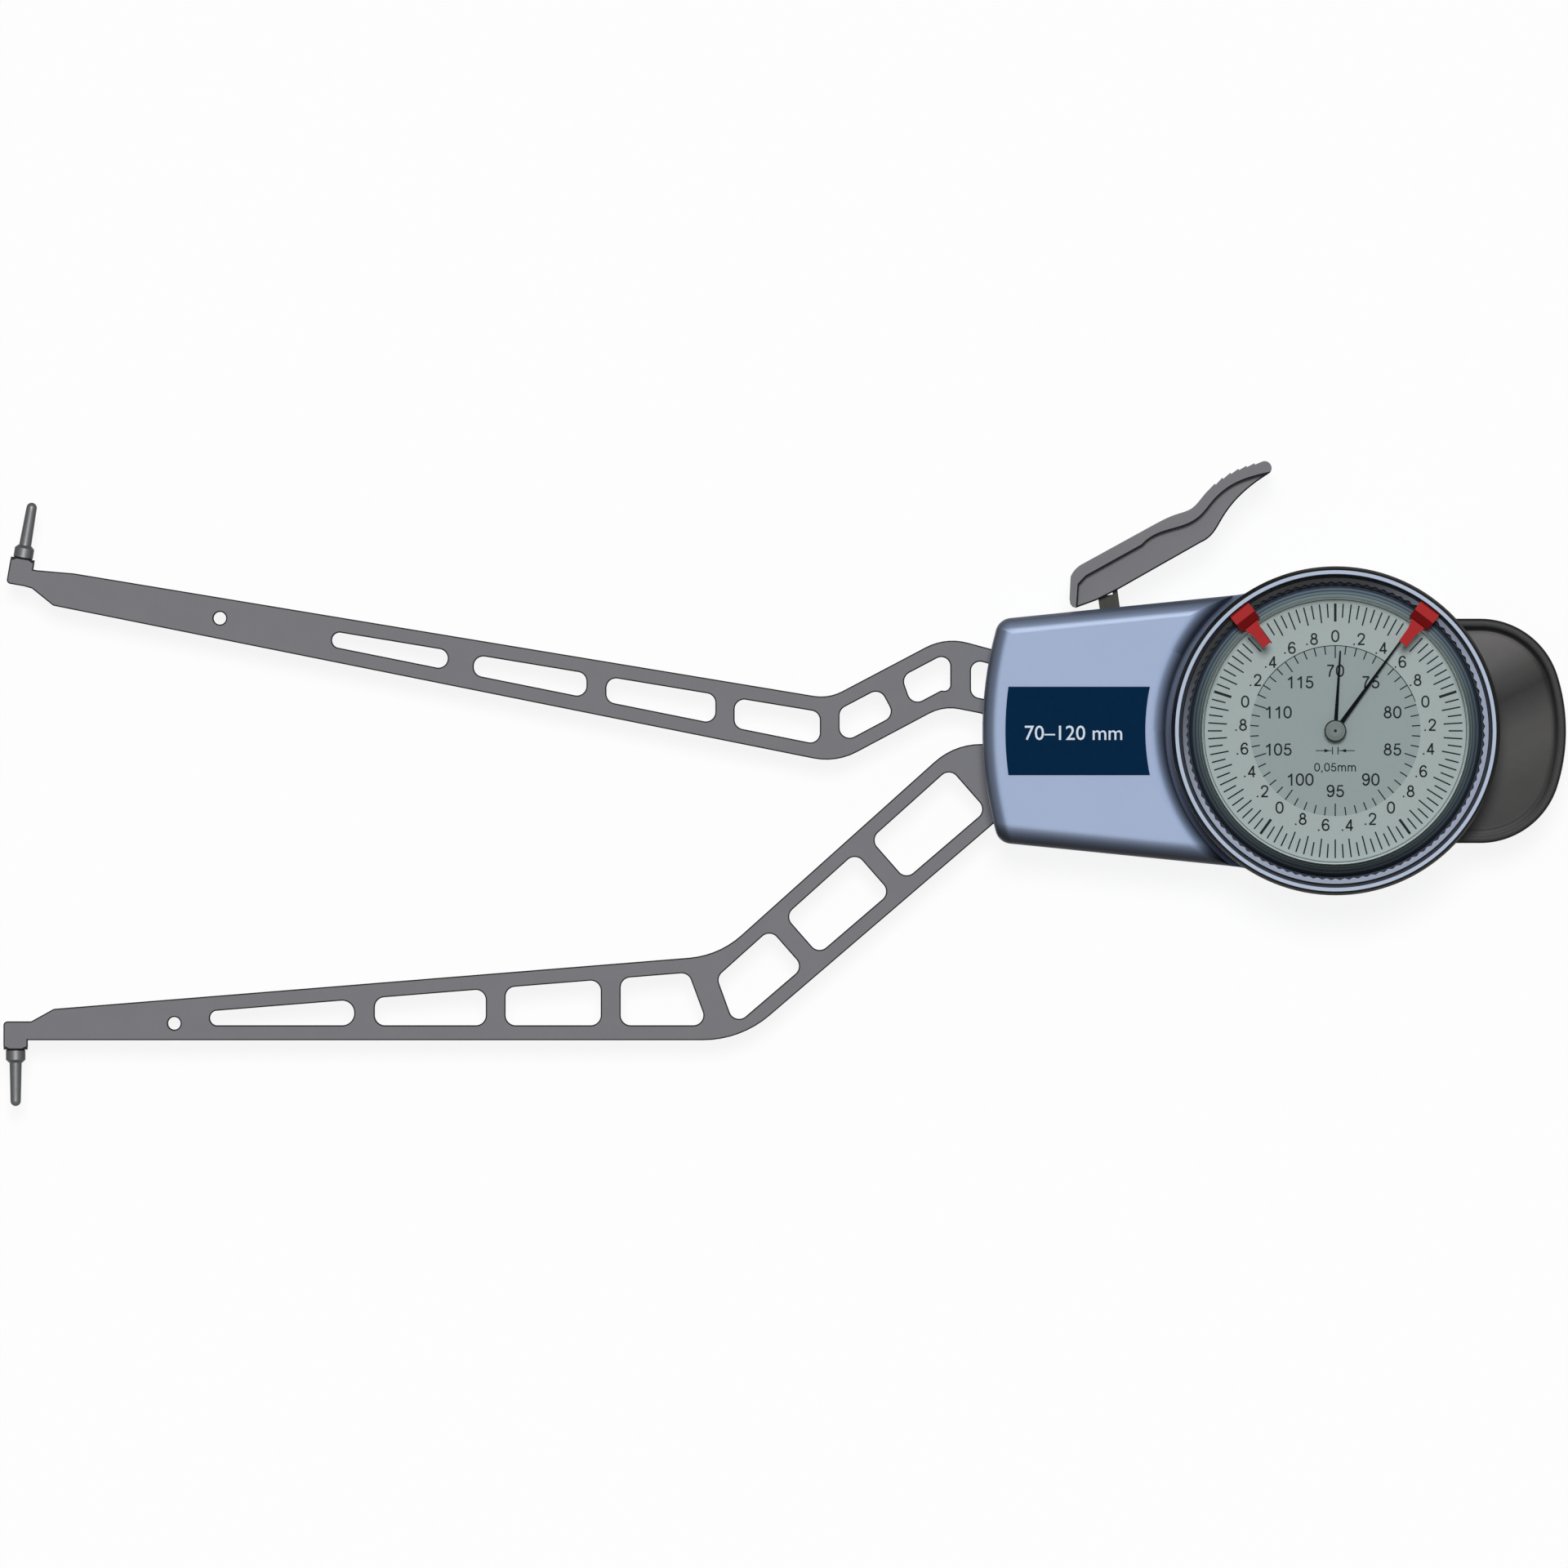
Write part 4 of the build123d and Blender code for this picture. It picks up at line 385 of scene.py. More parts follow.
    def bump(self, height: Signal, depth: float, strength: float) -> None:
        """Raise the surface.

        Args:
            height: Signal from 0 to 1.
            depth: Height in metres where the signal is one.
            strength: Share of the effect, up to one.
        """
        inputs = {"Height": height, "Distance": depth, "Strength": strength}
        made = self.node("ShaderNodeBump", inputs=inputs)
        self.tree.links.new(made.outputs["Normal"], self.shader.inputs["Normal"])

    def textured(self, texture: Texture) -> None:
        """Give the surface its fine relief and its uneven roughness."""
        self.roughness(texture.patch, texture.least_rough, texture.spread)
        self.bump(self.noise(texture.grain, texture.detail), texture.depth, texture.strength)

    def dress(self, *nodes: bpy.types.Object) -> None:
        """Give this material to whole objects.

        Args:
            nodes: The objects, which keep no other material.
        """
        for shown in nodes:
            shown.data.materials.clear()
            shown.data.materials.append(self.material)


@dataclass(frozen=True)
class Lacquer:
    """Grey blue satin lacquer of the moulded housing.

    The level top has painted shade towards its low side, its front and the bezel, painted shade on
    its rounded edges and on the lower flats, and a painted glint on the rounded edge on the side of
    the lever.
    """

    name: str = "housing_lacquer"
    shown: Colour = linear(163, 180, 211)
    tint: Colour = linear(158, 175, 206)
    # Painted highlight for the glint on the rounded edge.
    highlight: Colour = linear(190, 207, 238)
    # Painted shade for the level flats below the block's top.
    shoulder_shade: Colour = linear(84, 95, 118)
    shoulder_top: float = 20.5 * MM
    level_from: float = 0.9
    rounded_from: float = 0.3
    half_width: float = 29.1 * MM
    side_slope: float = 0.1016
    shade_width: float = 4.2 * MM
    # Painted shade ramps: the block's top darkens by distance from its low side, front and rear.
    low_side: Stops = (
        (0.0, 0.02),
        (0.17, 0.035),
        (0.33, 0.11),
        (0.48, 0.2),
        (0.62, 0.34),
        (0.76, 0.56),
        (0.9, 0.93),
        (1.0, 1.0),
    )
    front: float = 70.3 * MM
    front_bow: float = 6.6
    front_side: Stops = (
        (0.0, 0.08),
        (0.1, 0.11),
        (0.19, 0.23),
        (0.38, 0.34),
        (0.48, 0.49),
        (0.57, 0.82),
        (0.67, 1.0),
    )
    rear_radius: float = 33.9
    rear_shift: float = 0.5
    rear_shift_length: float = 24 * MM
    rear_side: Stops = (
        (0.0, 0.13),
        (0.08, 0.19),
        (0.18, 0.26),
        (0.3, 0.4),
        (0.4, 0.6),
        (0.48, 0.85),
        (0.56, 0.98),
        (0.62, 1.0),
    )
    glint_start: float = 67.5 * MM
    glint_rise: float = 9.0
    glint_rise_offset: float = 0.2
    glint_fall: float = 5.0
    glint_fall_offset: float = 1.9
    front_turn: float = 0.5
    least_lean: float = 0.001
    cloud: float = 14 * MM
    texture: Texture = Texture(
        patch=2.1 * MM, least_rough=0.4, spread=0.1, grain=0.35 * MM, depth=0.006 * MM, strength=0.5
    )

    def make(self) -> Finish:
        """Build the material.

        Returns:
            The finish of the housing.
        """
        finish = Finish(self.name, specular=0.15)
        shown = finish.mix(finish.noise(self.cloud), self.shown, self.tint)
        height = finish.axis("Z")
        level = finish.normal("Z")
        lean = finish.normal("Y")
        # Painted shade: level flats below the block's top take a darker colour.
        low = (height < self.shoulder_top) * (level > self.level_from)
        on_top = (height > self.shoulder_top) * (level > self.rounded_from)
        turned_up = (lean + finish.normal("X") * self.front_turn) > self.least_lean
        upper_side = (finish.axis("Y") > 0.0) * turned_up
        # Painted shade: rounded edges darken by tilt, and the top darkens towards its low side, front and
        # bezel.
        rounded = finish.painted_edge_shade(finish.mix(low, shown, self.shoulder_shade), EdgeShade.ROUNDED)
        shown = finish.mix(on_top * (1.0 - upper_side), rounded, self.shaded(finish, shown))
        # Painted glint on the rounded edge on the side of the lever.
        glint = self.glint(finish, lean) * on_top * upper_side
        finish.colour(finish.mix(glint, shown, self.highlight))
        finish.textured(self.texture)
        return finish

    def glint(self, finish: Finish, lean: Signal) -> Signal:
        """Paint a glint that follows the light along the rounded edge.

        Args:
            finish: The material that is being built.
            lean: Share of the normal along Y.

        Returns:
            One in the middle of the glint, zero beside it and in front of its start.
        """
        rise = (lean * self.glint_rise - self.glint_rise_offset).clamped()
        fall = (self.glint_fall_offset - lean * self.glint_fall).clamped()
        return rise * fall * ((finish.axis("X") + self.glint_start) / self.shade_width).clamped()

    def shaded(self, finish: Finish, shown: bpy.types.NodeSocket) -> bpy.types.NodeSocket:
        """Paint shade on the block's top towards its low side, its front and the bezel.

        Args:
            finish: The material that is being built.
            shown: Colour of the level top.

        Returns:
            The shaded colour's socket.
        """
        across = finish.axis("X")
        up = finish.axis("Y")
        low_margin = (across * self.side_slope + up + self.half_width) / self.shade_width
        front_margin = (across - up * up * self.front_bow + self.front) / self.shade_width
        rear_shift = (up / self.rear_shift_length + 0.5).clamped() * self.rear_shift
        rear_margin = (finish.radius() - rear_shift - self.rear_radius) / (self.shade_width / MM)
        for margin, stops in (
            (low_margin, self.low_side),
            (front_margin, self.front_side),
            (rear_margin, self.rear_side),
        ):
            shown = finish.multiplied(shown, finish.grey_ramp(margin, stops))
        return shown


@dataclass(frozen=True)
class Plastic:
    """Moulded plastic with a fine spark-eroded grain and painted shade where its surface tilts."""

    name: str
    shown: Colour
    least_rough: float = 0.44
    specular: float = 0.2
    shade: EdgeShade = EdgeShade.MOULDED
    cloud: float = 3.6 * MM
    darkest: float = 0.9
    patch: float = 1.2 * MM
    spread: float = 0.12
    grain: float = 0.3 * MM
    depth: float = 0.008 * MM

    def make(self) -> Finish:
        """Build the material.

        Returns:
            The finish of a moulded piece.
        """
        finish = Finish(self.name, self.specular)
        clouds = finish.noise(self.cloud, detail=4.0)
        shown = finish.mix(clouds, self.shown, scaled(self.shown, self.darkest))
        # Painted shade where the surface tilts.
        finish.colour(finish.painted_edge_shade(shown, self.shade))
        texture = Texture(
            patch=self.patch,
            least_rough=self.least_rough,
            spread=self.spread,
            grain=self.grain,
            depth=self.depth,
            strength=0.6,
        )
        finish.textured(texture)
        return finish


@dataclass(frozen=True)
class GripRubber:
    """Near-black grip whose dished face has a painted soft sheen in bands across it."""

    rim_foot: float
    name: str = "grip_black"
    rim: Colour = linear(62, 62, 61)
    face: Colour = linear(72, 71, 70)
    # Painted sheen: the lightest and darkest bands; the dark colour also tints the random clouds.
    light: Colour = linear(110, 108, 107)
    dark: Colour = linear(44, 43, 43)
    outline: Colour = linear(26, 26, 26)
    face_from: float = 0.86
    half_height: float = 22.4 * MM
    middle: float = 34.5 * MM
    slant: float = 0.5
    rim_middle: float = 28.0 * MM
    # Painted light and shade of the dish's walls, by which way they face.
    wall: Stops = ((0.0, 0.02), (0.4, 0.035), (0.7, 0.07), (1.0, 0.13))
    cloud: float = 6 * MM
    cloud_share: float = 0.25
    texture: Texture = Texture(
        patch=1.2 * MM, least_rough=0.4, spread=0.12, grain=0.25 * MM, depth=0.008 * MM, strength=0.6
    )

    def make(self) -> Finish:
        """Build the material.

        Returns:
            The finish of the end grip.
        """
        finish = Finish(self.name, specular=0.08)
        clouds = finish.noise(self.cloud, detail=3.0) * self.cloud_share
        # Painted sheen: slanted lighter and darker bands across the face, under clouds of random tone.
        shown = finish.mix(clouds, self.bands(finish), self.dark)
        shown = finish.mix(finish.axis("Z") > self.rim_foot, shown, self.rim)
        # Painted light and shade on the dish's walls: lighter facing +Y, the side the lamp leans from,
        # darker facing away. Outward walls take the outline colour.
        lean = finish.normal("Y")
        wall = finish.grey_ramp(lean * 0.5 + 0.5, self.wall)
        from_middle = finish.normal("X") * (finish.axis("X") - self.rim_middle)
        outward = (from_middle + lean * finish.axis("Y")) > 0.0
        wall = finish.mix(outward, wall, self.outline)
        finish.colour(finish.mix(finish.normal("Z") < self.face_from, shown, wall))
        finish.textured(self.texture)
        return finish

    def bands(self, finish: Finish) -> bpy.types.NodeSocket:
        """Lay the slanted bands of painted sheen over the face.

        Args:
            finish: The material that is being built.

        Returns:
            The banded colour's socket.
        """
        slanted = finish.axis("Y") - (finish.axis("X") - self.middle) * self.slant
        stops = (
            (0.0, scaled(self.face, 0.8)),
            (0.24, scaled(self.face, 0.93)),
            (0.39, scaled(self.face, 1.28)),
            (0.49, scaled(self.face, 1.2)),
            (0.65, self.dark),
            (0.75, self.face),
            (0.84, scaled(self.light, 0.78)),
            (0.95, self.light),
        )
        return finish.ramp(slanted / (2 * self.half_height) + 0.5, stops)


@dataclass(frozen=True)
class BezelPlastic:
    """Housing colour on the rims of the bezel, with painted shade: dark navy in its groove and channel,
    near-black on its outer chamfer, and a painted shadow of the rim on the second ring.
    """

    name: str = "bezel_plastic"
    rim: Colour = linear(176, 189, 210)
    second_ring: Colour = linear(152, 163, 183)
    # Painted shade: the dark navy of the groove and channel, and the near-black of the outer chamfer.
    hollow_shade: Colour = linear(20, 28, 44)
    edge: Colour = linear(14, 19, 27)
    edge_radius: float = 32.05
    inner_wall: float = 31.4
    second_top: float = 28.5 * MM
    hollow_top: float = 27.6 * MM
    level_from: float = 0.5
    turned_up_from: float = 0.1
    across_share: float = 0.45
    down_share: float = 0.9
    # Painted shadow of the rim across the second ring.
    rim_shadow: Stops = ((0.05, 0.01), (0.14, 0.05), (0.3, 0.4), (0.55, 1.0))
    texture: Texture = Texture(
        patch=1.5 * MM, least_rough=0.35, spread=0.1, grain=0.3 * MM, depth=0.005 * MM, strength=0.5
    )

    def make(self) -> Finish:
        """Build the material.

        Returns:
            The finish of the bezel.
        """
        finish = Finish(self.name, specular=0.12)
        height = finish.axis("Z")
        upward = finish.normal("Z")
        radius = finish.radius()
        inside = radius < self.inner_wall
        # Painted shadow of the rim on the second ring, darkest at the top left.
        towards_lower_right = finish.axis("X") * self.across_share - finish.axis("Y") * self.down_share
        along = towards_lower_right / (2 * self.inner_wall * MM) + 0.5
        ring = finish.multiplied(self.second_ring, finish.grey_ramp(along, self.rim_shadow))
        shown = finish.mix(inside * (height < self.second_top), self.rim, ring)
        # Painted shade: inside the rim, all but the level tops is dark navy.
        level_top = (upward > self.level_from) * (height > self.hollow_top)
        shown = finish.mix(inside * (1.0 - level_top), shown, self.hollow_shade)
        # Painted shade: the outer chamfer is near-black.
        outer_edge_shade = (radius > self.edge_radius) * (upward > self.turned_up_from)
        shown = finish.mix(outer_edge_shade, shown, self.edge)
        # Painted shade on broken edges by tilt.
        finish.colour(finish.painted_edge_shade(shown, EdgeShade.BROKEN))
        finish.textured(self.texture)
        return finish


@dataclass(frozen=True)
class Crystal:
    """Clear plastic crystal whose stepped edge is nearly opaque, with painted light and shade in bands on
    its steps and painted shade towards the bottom.
    """

    name: str = "crystal_clear"
    clear_radius: float = 26.55
    fade: float = 0.1
    clear_alpha: float = 0.012
    edge_alpha: float = 0.95
    edge_radius: float = 29.2
    # Painted light and shade of the edge's steps, with thin dark lines at the steps.
    bands: ColourStops = (
        (26.45, linear(176, 188, 184)),
        (26.6, linear(60, 72, 76)),
        (26.8, linear(142, 156, 156)),
        (27.15, linear(128, 144, 146)),
        (27.25, linear(52, 64, 72)),
        (27.5, linear(110, 127, 134)),
        (27.85, linear(90, 106, 116)),
        (27.95, linear(40, 50, 60)),
        (28.2, linear(104, 118, 130)),
        (28.55, linear(66, 80, 94)),
        (28.65, linear(26, 34, 44)),
        (28.85, linear(58, 70, 84)),
        (29.05, linear(16, 22, 32)),
    )
    # Painted shade: the edge darkens from the top towards the bottom.
    shade_from_below: Stops = ((0.0, 0.2), (0.2, 0.4), (0.6, 0.6), (0.85, 0.95), (1.0, 1.0))

    def make(self) -> Finish:
        """Build the material.

        Returns:
            The finish of the crystal.
        """
        finish = Finish(self.name, specular=0.06, roughness=0.25)
        up = finish.axis("Y") / (2 * self.edge_radius * MM) + 0.5
        # Painted shade: lighter towards the top, darker towards the bottom.
        lit = finish.grey_ramp(up, self.shade_from_below)
        finish.colour(finish.multiplied(finish.rings(self.bands, self.edge_radius), lit))
        edge = ((finish.radius() - self.clear_radius) / self.fade).clamped()
        finish.alpha(edge * self.edge_alpha + self.clear_alpha)
        return finish


@dataclass(frozen=True)
class DialSheet:
    """Matt metal dial in two greens of grey, darker inside the inner scale.

    Its upper edge is painted paler, painted light that makes up for the shade of the ring above it.
    """

    name: str = "dial_sheet"
    outer: Colour = linear(166, 178, 177)
    inner: Colour = linear(148, 161, 161)
    edge: Colour = linear(150, 160, 158)
    painted_upper_light: Colour = linear(226, 238, 236)
    step_radius: float = 17.0
    edge_radius: float = 26.1
    upper_edge_radius: float = 24.8
    upper_start: float = 9.8 * MM
    upper_width: float = 14 * MM
    speck: float = 0.25 * MM
    speck_tone: float = 0.93
    speck_spread: float = 0.14
    texture: Texture = Texture(
        patch=0.6 * MM,
        least_rough=0.55,
        spread=0.1,
        grain=0.12 * MM,
        depth=0.003 * MM,
        strength=0.4,
        detail=2.0,
    )

    def make(self) -> Finish:
        """Build the material.

        Returns:
            The finish of the dial plate.
        """
        finish = Finish(self.name, specular=0.1)
        radius = finish.radius()
        shown = finish.mix(radius > self.step_radius, self.inner, self.outer)
        shown = finish.mix(radius > self.edge_radius, shown, self.edge)
        # Painted light on the upper edge, against the shade of the ring above it.
        upper = ((finish.axis("Y") - self.upper_start) / self.upper_width).clamped()
        shown = finish.mix((radius - self.upper_edge_radius).clamped() * upper, shown, self.painted_upper_light)
        tone = finish.noise(self.speck, detail=4.0) * self.speck_spread + self.speck_tone
        grey = finish.node("ShaderNodeCombineXYZ", inputs={"X": tone, "Y": tone, "Z": tone})
        finish.colour(finish.multiplied(shown, grey.outputs[0]))
        finish.textured(self.texture)
        return finish


@dataclass(frozen=True)
class DialRing:
    """Grey ring round the dial, with a pale inner slope and a dark line where its flat top begins."""

    name: str = "inner_ring_grey"
    slope: Colour = linear(230, 242, 244)
    line: Colour = linear(74, 88, 94)
    face: Colour = linear(112, 128, 130)
    slope_start: float = 26.0
    slope_end: float = 26.9
    line_start: float = 27.1
    line_end: float = 27.25
    face_start: float = 27.45
    face_end: float = 28.5
    texture: Texture = Texture(
        patch=1.2 * MM, least_rough=0.44, spread=0.12, grain=0.3 * MM, depth=0.008 * MM, strength=0.6
    )

    def make(self) -> Finish:
        """Build the material.

        Returns:
            The finish of the ring.
        """
        finish = Finish(self.name, specular=0.1)
        bands = (
            (self.slope_start, self.slope),
            (self.slope_end, self.slope),
            (self.line_start, self.line),
            (self.line_end, self.line),
            (self.face_start, self.face),
        )
        finish.colour(finish.rings(bands, self.face_end))
        finish.textured(self.texture)
        return finish


@dataclass(frozen=True)
class Ink:
    """Screen print, a little uneven in tone."""

    name: str
    shown: Colour
    cloud: float = 0.4 * MM
    lightest: float = 1.2

    def make(self) -> Finish:
        """Build the material.

        Returns:
            The finish of a print.
        """
        finish = Finish(self.name, specular=0.05)
        uneven = finish.noise(self.cloud, detail=3.0)
        finish.colour(finish.mix(uneven, self.shown, scaled(self.shown, self.lightest)))
        finish.roughness(size=0.2 * MM, least=0.55, spread=0.1)
        return finish


@dataclass(frozen=True)
class BlastedPlate:
    """Anodised plate with a fine blasted surface and painted shade on its broken edges."""

    name: str = "anodised_plate"
    shown: Colour = linear(118, 118, 122)
    lighter: Colour = linear(123, 123, 127)
    cloud: float = 5 * MM
    texture: Texture = Texture(
        patch=0.8 * MM,
        least_rough=0.55,
        spread=0.1,
        grain=0.22 * MM,
        depth=0.006 * MM,
        strength=0.5,
        detail=2.0,
    )

    def make(self) -> Finish:
        """Build the material.

        Returns:
            The finish of an arm or the lever.
        """
        finish = Finish(self.name, specular=0.1)
        shown = finish.mix(finish.noise(self.cloud, detail=4.0), self.shown, self.lighter)
        # Painted shade on the broken edges.
        finish.colour(finish.painted_edge_shade(shown, EdgeShade.BROKEN))
        finish.textured(self.texture)
        return finish


@dataclass(frozen=True)
class TurnedMetal:
    """Turned or ground metal with fine lines, small changes of tone and painted shade where it tilts."""

    name: str
    shown: Colour
    least_rough: float = 0.25
    shade: EdgeShade = EdgeShade.MOULDED
    cloud: float = 1.5 * MM
    darkest: float = 0.85
    line_pitch: float = 0.25 * MM
    line_stretch: float = 6.0
    line_depth: float = 0.004 * MM

    def make(self) -> Finish:
        """Build the material.

        Returns:
            The finish of a turned piece.
        """
        finish = Finish(self.name, metallic=1.0)
        clouds = finish.noise(self.cloud, detail=3.0)
        shown = finish.mix(clouds, self.shown, scaled(self.shown, self.darkest))
        # Painted shade where the surface tilts.
        finish.colour(finish.painted_edge_shade(shown, self.shade))
        finish.roughness(size=0.4 * MM, least=self.least_rough, spread=0.15)
        stretch = Vector((1.0, 1.0, self.line_stretch))
        lines = finish.noise(self.line_pitch, detail=1.0, stretch=stretch)
        finish.bump(lines, self.line_depth, strength=0.5)
        return finish


@dataclass
class Maker:
    """Makes and finishes meshes with Blender's own tools."""

    figure_height: float = 0.729
    face_curve_steps: int = 3
    circle_sides: int = 180

    def clear(self) -> None:
        """Deselect everything."""
        bpy.ops.object.select_all(action="DESELECT")

    def fixed(self) -> bpy.types.Object:
        """Put the place, turn and size of the active object into its mesh, and give the object."""
        bpy.ops.object.transform_apply(location=True, rotation=True, scale=True)
        return bpy.context.view_layer.objects.active

    def join(self, pieces: list[bpy.types.Object], name: str) -> bpy.types.Object:
        """Join several objects to one mesh whose object sits at the origin.

        Args:
            pieces: The objects to join, at least one.
            name: Name of the joined piece.

        Returns:
            The joined object.
        """
        self.clear()
        for piece in pieces:
            piece.select_set(True)
        bpy.context.view_layer.objects.active = pieces[0]
        if len(pieces) > 1:
            bpy.ops.object.join()
        joined = self.fixed()
        joined.name = name
        joined.data.name = name
        return joined

    def copied(self, piece: bpy.types.Object) -> bpy.types.Object:
        """Copy an object with its own mesh.

        Args:
            piece: The object to copy.

        Returns:
            The copy, at the same place.
        """
        made = piece.copy()
        made.data = piece.data.copy()
        bpy.context.collection.objects.link(made)
        return made

    def bar(self, middle: Vector, length: float, width: float, turn: float) -> bpy.types.Object:
        """Thin bar of print.

        Args:
            middle: Middle of the bar.
            length: Length along the bar.
            width: Width across it.
            turn: Angle of its long side from +Y, in radians.

        Returns:
            The new object.
        """
        self.clear()
        bpy.ops.mesh.primitive_cube_add(size=1, location=middle, rotation=(0, 0, turn))
        bpy.context.view_layer.objects.active.scale = (width, length, PRINT_THICKNESS)
        return self.fixed()

    def words(self, text: str, middle: Vector, height: float, weight: float) -> bpy.types.Object:
        """Lettering in the default face, centred on a point.

        Args:
            text: What it says.
            middle: Centre of the words, half the figure height above their line.
            height: Height of a figure.
            weight: Extra thickness of the strokes as a share of the height.

        Returns:
            The lettering as a mesh.
        """
        self.clear()
        bpy.ops.object.text_add(location=(0, 0, 0))
        made = bpy.context.view_layer.objects.active
        made.data.body = text
        made.data.size = height / self.figure_height
        made.data.align_x = "CENTER"
        made.data.resolution_u = self.face_curve_steps
        made.data.offset = weight * height
        made.data.extrude = PRINT_THICKNESS / 2
        bpy.ops.object.convert(target="MESH")
        bpy.context.view_layer.objects.active.location = middle - Vector((0, height / 2, 0))
        return self.fixed()

    def band(
        self, middle: Vector, inner: float, outer: float, start: float, stop: float
    ) -> bpy.types.Object:
        """Thin arc band between two clockwise angles in degrees.

        Args:
            middle: Centre of the arc.
            inner: Inner radius.
            outer: Outer radius.
            start: Clockwise angle of its first end.
            stop: Clockwise angle of its last end.

        Returns:
            The new object.
        """
        self.clear()
        bpy.ops.mesh.primitive_circle_add(
            vertices=self.circle_sides, radius=outer, fill_type="NGON", location=middle
        )
        made = self.fixed()
        share = (outer - inner) * math.cos(math.pi / self.circle_sides)
        bpy.ops.object.mode_set(mode="EDIT")
        bpy.ops.mesh.select_all(action="SELECT")
        bpy.ops.mesh.inset(thickness=share, depth=0)
        bpy.ops.mesh.delete(type="FACE")
        bpy.ops.mesh.select_all(action="DESELECT")
        bpy.ops.object.mode_set(mode="OBJECT")
        for face in made.data.polygons:
            place = face.center - middle
            clock_angle = math.degrees(math.atan2(place.x, place.y))
            face.select = not start <= clock_angle <= stop
        bpy.ops.object.mode_set(mode="EDIT")
        bpy.ops.mesh.delete(type="FACE")
        bpy.ops.object.mode_set(mode="OBJECT")
        wall = made.modifiers.new("thickness", "SOLIDIFY")
        wall.thickness = PRINT_THICKNESS
        wall.offset = 0
        bpy.ops.object.modifier_apply(modifier=wall.name)
        return made


@dataclass(frozen=True)
class Stroke:
    """One pen stroke of a figure, through points on a cell that is one unit high."""

    points: tuple[tuple[float, float], ...]
    curved: bool = False
    closed: bool = False


SIX = (
    (0.23, 0.75),
    (0.14, 0.9),
    (0, 0.94),
    (-0.17, 0.84),
    (-0.26, 0.6),
    (-0.26, 0.36),
    (-0.17, 0.12),
    (0, 0.06),
    (0.17, 0.12),
    (0.25, 0.31),
    (0.17, 0.5),
    (0.01, 0.57),
    (-0.15, 0.51),
    (-0.24, 0.38),
)

FIGURES: dict[str, tuple[Stroke, ...]] = {
    "0": (
        Stroke(
            (
                (0, 0.94),
                (0.2, 0.82),
                (0.27, 0.5),
                (0.2, 0.18),
                (0, 0.06),
                (-0.2, 0.18),
                (-0.27, 0.5),
                (-0.2, 0.82),
            ),
            curved=True,
            closed=True,
        ),
    ),
    "1": (Stroke(((0.1, 0), (0.1, 0.98))), Stroke(((0.1, 0.92), (-0.04, 0.78), (-0.2, 0.7)))),
    "2": (
        Stroke(
            (
                (-0.25, 0.69),
                (-0.19, 0.87),
                (0, 0.94),
                (0.2, 0.86),
                (0.25, 0.68),
                (0.14, 0.47),
                (-0.22, 0.09),
            ),
            curved=True,
        ),
        Stroke(((-0.28, 0.06), (0.28, 0.06))),
    ),
    "4": (
        Stroke(((0.12, 0), (0.12, 0.96))),
        Stroke(((0.12, 0.92), (-0.27, 0.27))),
        Stroke(((-0.32, 0.26), (0.3, 0.26))),
    ),
    "5": (
        Stroke(((0.24, 0.93), (-0.15, 0.93), (-0.22, 0.48))),
        Stroke(
            (
                (-0.22, 0.49),
                (-0.04, 0.59),
                (0.17, 0.53),
                (0.26, 0.32),
                (0.17, 0.12),
                (-0.02, 0.06),
                (-0.18, 0.12),
                (-0.26, 0.27),
            ),
            curved=True,
        ),
    ),
    "6": (Stroke(SIX, curved=True),),
    "7": (
        Stroke(((-0.27, 0.93), (0.28, 0.93))),
        Stroke(((0.26, 0.91), (0.08, 0.65), (-0.04, 0.35), (-0.09, 0)), curved=True),
    ),
    "8": (
        Stroke(((0, 0.94), (0.2, 0.74), (0, 0.54), (-0.2, 0.74)), curved=True, closed=True),
        Stroke(((0, 0.54), (0.26, 0.3), (0, 0.06), (-0.26, 0.3)), curved=True, closed=True),
    ),
    "9": (Stroke(tuple((-x, 1 - y) for x, y in SIX), curved=True),),
    ".": (Stroke(((0, 0), (0, 0.125))),),
    ",": (Stroke(((0, 0.125), (0, 0), (-0.05, -0.12))),),
    "m": (
        Stroke(((-0.42, 0), (-0.42, 0.74))),
        Stroke(((-0.42, 0.5), (-0.33, 0.64), (-0.2, 0.68), (-0.06, 0.62), (0, 0.45)), curved=True),
        Stroke(((0, 0.46), (0, 0))),
        Stroke(((0, 0.5), (0.09, 0.64), (0.22, 0.68), (0.36, 0.62), (0.42, 0.45)), curved=True),
        Stroke(((0.42, 0.46), (0.42, 0))),
    ),
}


